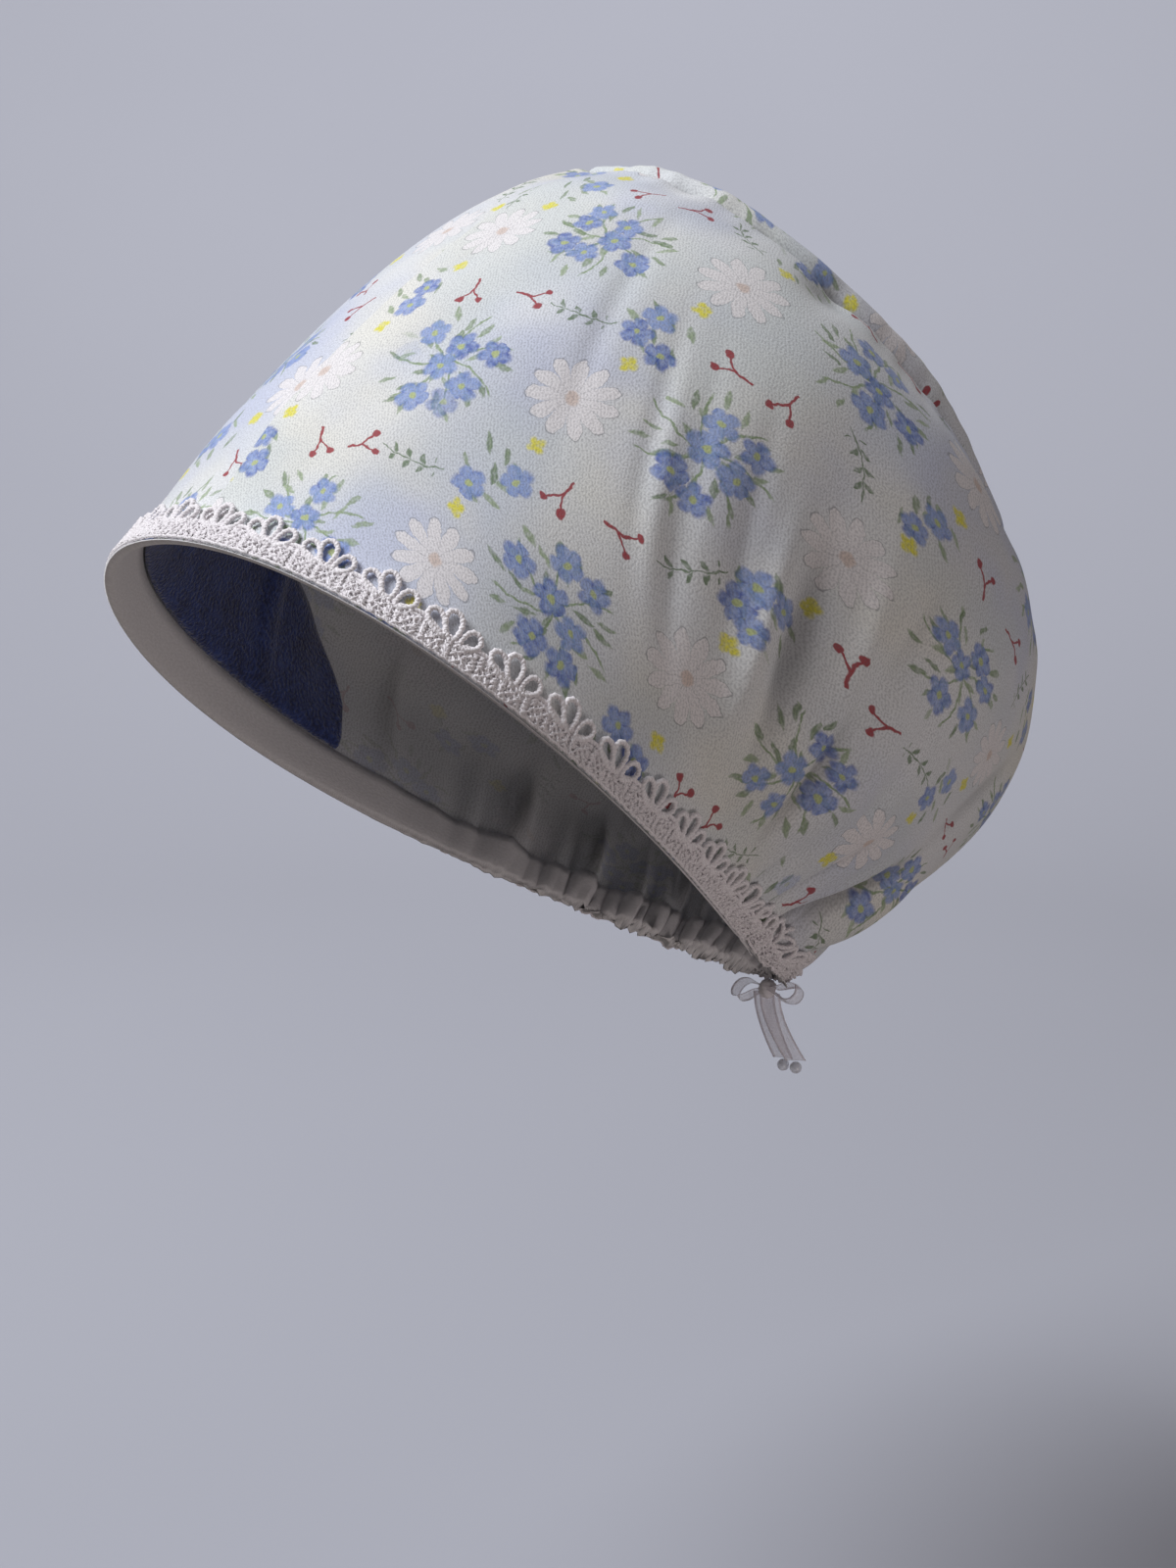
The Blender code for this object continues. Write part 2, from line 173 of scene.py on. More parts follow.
class Finish:
    """A material with one Principled shader, and short ways to add the nodes that feed it."""

    def __init__(self, name: str) -> None:
        """Make the material.

        Args:
            name: The material's name.
        """
        self.material = bpy.data.materials.new(name)
        self.material.use_nodes = True
        self.tree = self.material.node_tree
        self.shader = self.tree.nodes["Principled BSDF"]

    def number(self, socket: Socket) -> Number:
        """The number or colour that comes out of this socket."""
        return Number(self.tree, socket)

    def split(self, socket: Socket) -> tuple[Number, Number, Number]:
        """The three numbers of an arrow or a colour.

        Args:
            socket: The socket that it comes out of.

        Returns:
            Its three numbers.
        """
        node = self.tree.nodes.new("ShaderNodeSeparateXYZ")
        self.tree.links.new(socket, node.inputs[0])
        return tuple(self.number(part) for part in node.outputs)

    def join(self, x: Number, y: Number, z: "Number | float" = 0.0) -> Socket:
        """The arrow with these three parts.

        Args:
            x: The first part.
            y: The second.
            z: The third.

        Returns:
            The arrow's socket.
        """
        node = self.tree.nodes.new("ShaderNodeCombineXYZ")
        for slot, value in zip(node.inputs, (x, y, z)):
            feed(self.tree, slot, value)
        return node.outputs[0]

    def uv(self, layer: str) -> tuple[Number, Number]:
        """The flat place on the piece in millimetres, from this UV map in metres.

        Args:
            layer: The UV map's name.

        Returns:
            The place across and along.
        """
        node = self.tree.nodes.new("ShaderNodeUVMap")
        node.uv_map = layer
        across, along, _ = self.split(node.outputs[0])
        return across * 1000, along * 1000

    def attribute(self, name: str) -> Number:
        """The value that each corner of the piece carries under this name.

        Args:
            name: The value's name.

        Returns:
            The value.
        """
        node = self.tree.nodes.new("ShaderNodeAttribute")
        node.attribute_name = name
        return self.number(node.outputs["Fac"])

    def place(self) -> Socket:
        """The place in the object's own frame."""
        return self.tree.nodes.new("ShaderNodeTexCoord").outputs["Object"]

    def noise(
        self, at: Socket, scale: float, detail: float = 2.0, flat: bool = False
    ) -> bpy.types.Node:
        """A soft noise texture.

        Args:
            at: The place to read it at.
            scale: Its waves per unit of the place.
            detail: How many finer layers it has.
            flat: Whether it reads two parts of the place instead of three.

        Returns:
            The noise node.
        """
        node = self.tree.nodes.new("ShaderNodeTexNoise")
        node.noise_dimensions = "2D" if flat else "3D"
        self.tree.links.new(at, node.inputs["Vector"])
        node.inputs["Scale"].default_value = scale
        node.inputs["Detail"].default_value = detail
        return node

    def cloud(self, at: Socket, scale: float, detail: float = 2.0, flat: bool = False) -> Number:
        """The soft noise texture's number from 0 to 1, with the same settings as noise."""
        return self.number(self.noise(at, scale, detail, flat).outputs["Fac"])

    def chance(self, x: Number, y: Number, seed: float = 0.0) -> tuple[Number, Number, Number]:
        """Three chance numbers from 0 to 1 that are the same wherever x and y are the same.

        Args:
            x: The place across the cloth.
            y: The place along the cloth.
            seed: A number that tells draws at the same place apart.

        Returns:
            The three numbers.
        """
        node = self.tree.nodes.new("ShaderNodeTexWhiteNoise")
        node.noise_dimensions = "3D"
        self.tree.links.new(self.join(x, y, seed), node.inputs["Vector"])
        return self.split(node.outputs["Color"])

    def mix(
        self,
        share: "Number | float",
        under: "Socket | tuple[float, float, float]",
        over: "Socket | tuple[float, float, float]",
    ) -> Socket:
        """Lay one colour over another.

        Args:
            share: How much of the upper colour shows, from 0 to 1.
            under: The lower colour.
            over: The upper colour.

        Returns:
            The mixed colour.
        """
        node = self.tree.nodes.new("ShaderNodeMix")
        node.data_type = "RGBA"
        for number, value in ((0, share), (6, under), (7, over)):
            feed(self.tree, node.inputs[number], value)
        return node.outputs[2]

    def color(self, socket: Socket) -> None:
        """Colour the piece with what comes out of this socket."""
        self.tree.links.new(socket, self.shader.inputs["Base Color"])

    def relief(self, height: Number, depth: float, strength: float = 1.0) -> None:
        """Raise the surface's look.

        Args:
            height: The relief, from 0 to 1.
            depth: How high 1 stands, in metres.
            strength: How much of the relief shows.
        """
        node = self.tree.nodes.new("ShaderNodeBump")
        node.inputs["Strength"].default_value = strength
        node.inputs["Distance"].default_value = depth
        self.tree.links.new(height.socket, node.inputs["Height"])
        self.tree.links.new(node.outputs[0], self.shader.inputs["Normal"])

    def link(self, value: Number, name: str) -> None:
        """Link a number to one of the shader's sockets."""
        self.tree.links.new(value.socket, self.shader.inputs[name])

    def set(self, **values: float) -> None:
        """Set the shader's sockets, named in small letters with lines for spaces."""
        for name, value in values.items():
            words = name.replace("_", " ").title().replace("Ior", "IOR")
            self.shader.inputs[words].default_value = value


def srgb(red: float, green: float, blue: float) -> tuple[float, float, float]:
    """The linear colour for screen values from 0 to 255.

    Args:
        red: The red.
        green: The green.
        blue: The blue.

    Returns:
        Red, green and blue from 0 to 1.
    """
    parts = []
    for part in (red / 255, green / 255, blue / 255):
        parts.append(part / 12.92 if part <= 0.04045 else ((part + 0.055) / 1.055) ** 2.4)
    return tuple(parts)


@dataclass(frozen=True)
class Lattice:
    """Where one kind of printed motif repeats, in millimetres."""

    across: float
    along: float
    start_across: float
    start_along: float
    jitter: float

    def cell(self, finish: Finish, x: Number, y: Number) -> tuple[Number, Number, tuple]:
        """Find the motif that a place belongs to.

        Args:
            finish: The material that the nodes go in.
            x: The place across the cloth.
            y: The place along the cloth.

        Returns:
            The place measured from the motif's middle, and three chance numbers for it.
        """
        column = ((x - self.start_across) / self.across).floor()
        lift = (column * 0.5).fract() * self.along
        upward = y - self.start_along + lift
        row = (upward / self.along).floor()
        chances = finish.chance(column, row, self.start_across)
        local_x = x - self.start_across - (column + 0.5) * self.across - (chances[0] - 0.5) * self.jitter
        local_y = upward - (row + 0.5) * self.along - (chances[1] - 0.5) * self.jitter
        return local_x, local_y, chances

    def turned_cell(self, finish: Finish, x: Number, y: Number) -> tuple[Number, Number]:
        """Find the motif that a place belongs to, with each motif turned its own way.

        Args:
            finish: The material that the nodes go in.
            x: The place across the cloth.
            y: The place along the cloth.

        Returns:
            The place along and across the turned motif, from its middle.
        """
        local_x, local_y, chances = self.cell(finish, x, y)
        turn = chances[2] * ANY_TURN
        cosine, sine = turn.cos(), turn.sin()
        return local_x * cosine + local_y * sine, local_y * cosine - local_x * sine


@dataclass(frozen=True)
class PrintedCotton:
    """Plain-woven white cotton with a scattered flower print.

    The motifs are blue blossoms in bunches with stems and leaves, white daisies with a fine
    grey line, leafy sprigs, red berry twigs and small yellow blossoms, over pale washes of
    colour. They repeat in columns that drop by half, each at its own place between the others.
    """

    name: str
    print_share: float = 1.0
    # how much of the painted shade goes into the deepest folds
    shade: float = 0.50
    thread_pitch: float = 0.74
    ground: tuple = srgb(232, 234, 238)
    blue_wash: tuple = srgb(192, 200, 232)
    yellow_wash: tuple = srgb(238, 235, 222)
    green_wash: tuple = srgb(214, 221, 224)
    blossom_light: tuple = srgb(142, 166, 222)
    blossom_deep: tuple = srgb(62, 88, 176)
    blossom_eye: tuple = srgb(196, 206, 130)
    stem: tuple = srgb(150, 170, 134)
    leaf_light: tuple = srgb(164, 182, 146)
    leaf_deep: tuple = srgb(104, 128, 92)
    daisy_radius: float = 10.2
    daisy_petals: int = 11
    daisy_white: tuple = srgb(242, 238, 240)
    daisy_line: tuple = srgb(112, 111, 116)
    daisy_eye: tuple = srgb(222, 200, 188)
    berry: tuple = srgb(160, 26, 40)
    buttercup: tuple = srgb(234, 226, 84)
    bunches: Lattice = Lattice(56, 52, 0, 0, 4)
    sprays: Lattice = Lattice(56, 52, 28, -13, 4)
    daisies: Lattice = Lattice(56, 52, 28, 13, 3)
    sprigs: Lattice = Lattice(56, 52, 14, 30, 3)
    twigs: Lattice = Lattice(56, 52, 0, 25, 3)
    spare_twigs: Lattice = Lattice(56, 52, 44, -5, 3)
    buttercups: Lattice = Lattice(56, 52, 30, -1, 4)
    spare_buttercups: Lattice = Lattice(56, 52, 29, 27, 4)

    def material(self) -> Material:
        """Make the material.

        Returns:
            The material, which reads the UV map named cloth.
        """
        finish = Finish(self.name)
        x, y = finish.uv("cloth")
        drift = finish.noise(finish.join(x, y), 0.35, 2.0, flat=True)
        drift_x, drift_y, blot = finish.split(drift.outputs["Color"])
        at_x, at_y = x + (drift_x - 0.5) * 1.5, y + (drift_y - 0.5) * 1.5
        speckle = finish.cloud(finish.join(x, y), 0.8, 3.0, flat=True)
        fade = speckle.ramp(0.15, 0.65) * 0.5 + 0.5
        color = self.washes(finish, x, y)
        color = self.daisy(finish, color, at_x, at_y)
        color = self.sprig(finish, color, at_x, at_y, fade)
        color = self.leaves(finish, color, at_x, at_y, fade)
        color = self.blossoms(finish, color, at_x, at_y, speckle, blot)
        for lattice in (self.twigs, self.spare_twigs):
            color = self.twig(finish, color, at_x, at_y, lattice)
        for lattice in (self.buttercups, self.spare_buttercups):
            color = self.buttercup_dots(finish, color, at_x, at_y, lattice, fade)
        color = finish.mix(self.print_share, self.ground, color)
        turns = 2 * math.pi / self.thread_pitch
        sway = finish.cloud(finish.join(x, y), 0.12, 1.0, flat=True)
        slant = ((x * 0.76 + y * 0.65 + sway * 2.0) * turns).sin()
        weave = slant * ((x * 0.65 - y * 0.76) * turns * 0.55).sin() * 0.5 + slant * 0.5
        grain = finish.cloud(finish.join(x, y), 2.0, 2.0, flat=True)
        thread = weave * 0.16 + grain
        color = finish.mix(thread.ramp(0.66, 0.26) * 0.34, color, srgb(118, 118, 124))
        # Painted shade: the colour is darkened towards grey-lilac in creases, gathers and the crown seam's
        # groove, by how deep each corner lies in them.
        color = finish.mix(finish.attribute("painted_fold_shade") * self.shade, color, srgb(58, 54, 58))
        finish.color(color)
        finish.relief(thread, 0.00010, 0.7)
        finish.set(roughness=0.86, sheen_weight=0.12, sheen_roughness=0.45, specular_ior_level=0.25)
        return finish.material

    def washes(self, finish: Finish, x: Number, y: Number) -> Socket:
        """Soft pale clouds of colour on the white ground.

        Args:
            finish: The material that the nodes go in.
            x: The place across the cloth.
            y: The place along the cloth.

        Returns:
            The washed ground's colour.
        """
        color = self.ground
        for seed, (scale, wash) in enumerate(
            ((0.015, self.blue_wash), (0.018, self.yellow_wash), (0.021, self.green_wash))
        ):
            at = finish.join(x + 140.0 * seed, y - 90.0 * seed)
            cloud = finish.cloud(at, scale, 3.0, flat=True)
            color = finish.mix(cloud.ramp(0.40, 0.70) * 0.62, color, wash)
        return color

    def blossoms(
        self, finish: Finish, color: Socket, x: Number, y: Number, speckle: Number, blot: Number
    ) -> Socket:
        """Bunches of five-petalled blue blossoms with yellow-green eyes.

        Args:
            finish: The material that the nodes go in.
            color: The colour under the blossoms.
            x: The place across the cloth.
            y: The place along the cloth.
            speckle: Fine noise from 0 to 1 that mottles the paint.
            blot: Soft noise from 0 to 1 that makes some petals darker.

        Returns:
            The colour with the blossoms on it.
        """
        near_x, near_y, out_x, out_y, chances = self.scatter(finish, x, y, 8.6, 0.5)
        kept = self.inside(finish, out_x, out_y, self.bunches, 11.8)
        kept = kept.most(self.inside(finish, out_x, out_y, self.sprays, 6.4))
        size = chances[0] * 1.1 + 3.5
        radius = near_x.length(near_y)
        petal = abs(((near_y.angle(near_x) + chances[1] * ANY_TURN) * 2.5).cos())
        outline = size * (petal.power(0.6) * 0.36 + 0.64)
        inside = (outline - radius).ramp(-0.45, 0.70)
        depth = (radius / outline).power(4.0) * 0.45 + speckle * 1.1 + blot * 0.9 - 0.95
        depth = depth + (chances[2] - 0.5) * 0.5 + (0.35 - petal).ramp(0.0, 0.35) * 0.35
        paint = finish.mix(depth.ramp(-0.1, 1.0), self.blossom_light, self.blossom_deep)
        color = finish.mix(inside * kept * (speckle * 0.5 + 0.56).least(0.90), color, paint)
        eye = (size * 0.20 - radius).ramp(-0.25, 0.25)
        return finish.mix(eye * kept * 0.85, color, self.blossom_eye)

    def leaves(
        self, finish: Finish, color: Socket, x: Number, y: Number, fade: Number
    ) -> Socket:
        """Stems through each bunch of blossoms and leaves that point outwards from it.

        Args:
            finish: The material that the nodes go in.
            color: The colour under the print.
            x: The place across the cloth.
            y: The place along the cloth.
            fade: How strong the paint is, from 0 to 1.

        Returns:
            The colour with the print on it.
        """
        bunch_x, bunch_y, luck = self.bunches.cell(finish, x, y)
        radius = bunch_x.length(bunch_y)
        turn = bunch_y.angle(bunch_x) * 3.5 + radius * 0.11 + luck[2] * ANY_TURN
        stem = (1.45 - abs(turn.sin()) * radius).ramp(0.0, 0.9) * radius.ramp(15.5, 14.0)
        color = finish.mix(stem * fade, color, self.stem)
        near_x, near_y, out_x, out_y, chances = self.scatter(finish, x, y, 5.2, 0.6)
        local_x, local_y, _ = self.bunches.cell(finish, out_x, out_y)
        away = local_x.length(local_y)
        kept = away.ramp(15.4, 15.2).most(self.inside(finish, out_x, out_y, self.sprays, 8.4))
        along = (near_x * local_x + near_y * local_y) / away
        across = (near_y * local_x - near_x * local_y) / away
        across = across + along * (chances[0] - 0.5) * 1.1
        reach = chances[1] * 0.8 + 2.1
        share = along / reach
        edge = (1.0 - share * share) * (chances[2] * 0.35 + 0.60)
        inside = (edge - abs(across)).ramp(-0.20, 0.34)
        paint = finish.mix(chances[0], self.leaf_light, self.leaf_deep)
        vein = (0.20 - abs(across)).ramp(0.0, 0.15)
        paint = finish.mix(vein * 0.5, paint, self.leaf_light)
        return finish.mix(inside * kept * fade * 0.9, color, paint)

    def daisy(self, finish: Finish, color: Socket, x: Number, y: Number) -> Socket:
        """White daisies with a fine grey line round each petal.

        Args:
            finish: The material that the nodes go in.
            color: The colour under the daisies.
            x: The place across the cloth.
            y: The place along the cloth.

        Returns:
            The colour with the daisies on it.
        """
        size = self.daisy_radius
        local_x, local_y, chances = self.daisies.cell(finish, x, y)
        radius = local_x.length(local_y)
        turn = local_y.angle(local_x) + chances[2] * ANY_TURN
        petal = abs((turn * (self.daisy_petals / 2)).cos())
        outline = petal.power(0.5) * (0.62 * size) + 0.38 * size
        inside = (outline - radius).ramp(0.0, 0.4)
        color = finish.mix(inside * 0.9, color, self.daisy_white)
        rim = (0.30 - abs(outline - radius)).ramp(0.0, 0.28)
        gap = (0.065 - petal * radius / size).ramp(0.0, 0.06) * inside
        line = rim.most(gap * 0.6)
        color = finish.mix(line * 0.52, color, self.daisy_line)
        eye = (0.17 * size - radius).ramp(-0.3, 0.5)
        return finish.mix(eye * 0.75, color, self.daisy_eye)

    def sprig(
        self, finish: Finish, color: Socket, x: Number, y: Number, fade: Number
    ) -> Socket:
        """Fine leafy sprigs with pairs of narrow leaves.

        Args:
            finish: The material that the nodes go in.
            color: The colour under the print.
            x: The place across the cloth.
            y: The place along the cloth.
            fade: How strong the paint is, from 0 to 1.

        Returns:
            The colour with the print on it.
        """
        along, across = self.sprigs.turned_cell(finish, x, y)
        across = across + along * along * 0.022
        step = along - (along / 3.6).round() * 3.6
        side = abs(across)
        leaf_along = step * 0.68 + side * 0.73
        leaf_across = abs(side * 0.68 - step * 0.73)
        share = (leaf_along - 1.9) / 1.75
        edge = (1.0 - share * share) * 0.66
        leaf = (edge - leaf_across).ramp(-0.1, 0.28) * abs(along).ramp(6.0, 5.6)
        stem = (0.28 - side).ramp(0.0, 0.2) * abs(along).ramp(8.2, 7.8)
        return finish.mix(leaf.most(stem) * fade * 0.9, color, self.leaf_deep)

    def twig(
        self, finish: Finish, color: Socket, x: Number, y: Number, lattice: Lattice
    ) -> Socket:
        """Thin red twigs that fork, with a berry at each end.

        Args:
            finish: The material that the nodes go in.
            color: The colour under the print.
            x: The place across the cloth.
            y: The place along the cloth.
            lattice: Where the twigs repeat.

        Returns:
            The colour with the print on it.
        """
        side, up = lattice.turned_cell(finish, x, y)
        side = abs(side)
        fork = side - up.most(0.0).power(1.5) * 0.32
        line = (0.46 - abs(fork)).ramp(0.0, 0.26) * up.ramp(-3.4, -3.2) * up.ramp(3.9, 3.7)
        berry_x, berry_y = side - 2.5, up - 4.1
        berry = (1.15 - berry_x.length(berry_y)).ramp(0.0, 0.35)
        return finish.mix(line.most(berry) * 0.92, color, self.berry)

    def buttercup_dots(
        self, finish: Finish, color: Socket, x: Number, y: Number, lattice: Lattice, fade: Number
    ) -> Socket:
        """Small soft yellow blossoms between the rest.

        Args:
            finish: The material that the nodes go in.
            color: The colour under the print.
            x: The place across the cloth.
            y: The place along the cloth.
            lattice: Where the blossoms repeat.
            fade: How strong the paint is, from 0 to 1.

        Returns:
            The colour with the print on it.
        """
        local_x, local_y, chances = lattice.cell(finish, x, y)
        radius = local_x.length(local_y)
        petal = abs(((local_y.angle(local_x) + chances[2] * ANY_TURN) * 2.0).cos())
        inside = (petal.power(0.7) * 0.9 + 1.5 - radius).ramp(-0.3, 0.7)
        return finish.mix(inside * fade, color, self.buttercup)

    def inside(self, finish: Finish, x: Number, y: Number, lattice: Lattice, reach: float) -> Number:
        """One where a place is within reach of the nearest motif of a lattice."""
        local_x, local_y, _ = lattice.cell(finish, x, y)
        return local_x.length(local_y).ramp(reach + 0.1, reach - 0.1)

    def scatter(self, finish: Finish, x: Number, y: Number, pitch: float, spread: float) -> tuple:
        """Scatter motifs at uneven places.

        Args:
            finish: The material that the nodes go in.
            x: The place across the cloth.
            y: The place along the cloth.
            pitch: The usual distance between motifs, in millimetres.
            spread: How uneven their places are, from 0 to 1.

        Returns:
            The place measured from the nearest motif, that motif's place, and chances for it.
        """
        node = finish.tree.nodes.new("ShaderNodeTexVoronoi")
        node.voronoi_dimensions = "2D"
        finish.tree.links.new(finish.join(x / pitch, y / pitch), node.inputs["Vector"])
        node.inputs["Scale"].default_value = 1.0
        node.inputs["Randomness"].default_value = spread
        middle_x, middle_y, _ = finish.split(node.outputs["Position"])
        middle_x, middle_y = middle_x * pitch, middle_y * pitch
        chances = finish.split(node.outputs["Color"])
        return x - middle_x, y - middle_y, middle_x, middle_y, chances


@dataclass(frozen=True)
class Towelling:
    """Looped navy towelling."""

    name: str = "navy_towelling"
    light: tuple = srgb(62, 86, 160)
    deep: tuple = srgb(24, 34, 80)

    def material(self) -> Material:
        """Make the material.

        Returns:
            The material, which reads object coordinates.
        """
        finish = Finish(self.name)
        at = finish.place()
        loops = finish.cloud(at, 1100.0, 2.0)
        patches = finish.cloud(at, 140.0, 2.0)
        tone = loops * 0.8 + patches * 0.4
        finish.color(finish.mix(tone.ramp(0.35, 0.95), self.deep, self.light))
        finish.relief(loops, 0.0009, 0.9)
        finish.set(roughness=0.95, sheen_weight=0.5, sheen_roughness=0.6, specular_ior_level=0.2)
        return finish.material


@dataclass(frozen=True)
class PlainCotton:
    """Plain-woven cotton tape of one colour."""

    name: str
    base: tuple
    thread_pitch: float = 0.45

    def material(self) -> Material:
        """Make the material.

        Returns:
            The material, which reads the UV map named cloth.
        """
        finish = Finish(self.name)
        x, y = finish.uv("cloth")
        turns = 2 * math.pi / self.thread_pitch
        weave = (x * turns).sin() * (y * turns).sin()
        grain = finish.cloud(finish.join(x, y), 1.6, 2.0, flat=True)
        tone = weave * 0.3 + grain
        darker = tuple(0.72 * part for part in self.base)
        finish.color(finish.mix(tone.ramp(0.9, 0.1) * 0.6, self.base, darker))
        finish.relief(tone, 0.00012, 0.7)
        finish.set(roughness=0.9, sheen_weight=0.1, specular_ior_level=0.2)
        return finish.material


@dataclass(frozen=True)
class TwistedThread:
    """Soft twisted cotton thread, with its turns along the UV map named cloth."""

    name: str
    base: tuple
    turn_pitch: float = 0.9

    def material(self) -> Material:
        """Make the material.

        Returns:
            The material, which reads the UV map named cloth.
        """
        finish = Finish(self.name)
        along, around = finish.uv("cloth")
        twist = ((along / self.turn_pitch + around / 1000.0 * 2.0) * (2 * math.pi)).sin()
        fuzz = finish.cloud(finish.place(), 2600.0, 2.0)
        tone = twist * 0.35 + fuzz
        darker = tuple(0.74 * part for part in self.base)
        finish.color(finish.mix(tone.ramp(0.85, 0.05) * 0.5, self.base, darker))
        finish.relief(tone, 0.00016, 0.8)
        finish.set(roughness=0.8, sheen_weight=0.2, specular_ior_level=0.3)
        return finish.material


@dataclass(frozen=True)
class SheerRibbon:
    """Thin see-through ribbon with a closer-woven edge."""

    name: str = "sheer_ribbon"
    base: tuple = srgb(238, 233, 245)
    edge: float = 2.3

    def material(self) -> Material:
        """Make the material.

        Returns:
            The material, which reads the UV map named cloth.
        """
        finish = Finish(self.name)
        across, along = finish.uv("cloth")
        ribs = (across * (2 * math.pi / 0.55)).sin() * 0.5 + (along * (2 * math.pi / 0.55)).sin() * 0.5
        grain = finish.cloud(finish.join(across, along), 1.5, 2.0, flat=True)
        tone = ribs * 0.25 + grain
        paler = tuple(min(1.0, 1.15 * part) for part in self.base)
        finish.color(finish.mix(tone.ramp(0.2, 0.9), self.base, paler))
        finish.relief(tone, 0.00008, 0.6)
        finish.set(roughness=0.36, sheen_weight=0.7)
        cover = abs(along).ramp(self.edge, self.edge + 0.3) * 0.40 + tone * 0.12 + 0.26
        finish.link(cover, "Alpha")
        return finish.material


@dataclass(frozen=True)
class ClearBead:
    """Clear glossy bead with a faint tint inside."""

    name: str = "clear_bead"
    tint: tuple = srgb(246, 246, 250)

    def material(self) -> Material:
        """Make the material.

        Returns:
            The material, which reads object coordinates.
        """
        finish = Finish(self.name)
        cloud = finish.cloud(finish.place(), 420.0, 1.0)
        finish.color(finish.mix(cloud.ramp(0.3, 0.8) * 0.3, self.tint, srgb(206, 204, 214)))
        finish.set(roughness=0.12, transmission_weight=0.45, ior=1.6, coat_weight=1.0)
        return finish.material


# The cloth's form


@dataclass(frozen=True)
class Crease:
    """A soft fold or ridge of the cloth.

    The spreads say how far it reaches round and down from its middle, slant how many degrees
    it turns for each unit down, height how far it stands out, and sides on which sides it is.
    """

    turn: float
    down: float
    turn_spread: float
    down_spread: float
    slant: float
    height: float
    sides: tuple = tuple(Side)


def creases_on(sides: tuple, *rows: tuple) -> tuple:
    """The creases with these numbers, in a Crease's order, on these sides."""
    return tuple(Crease(*row, sides) for row in rows)


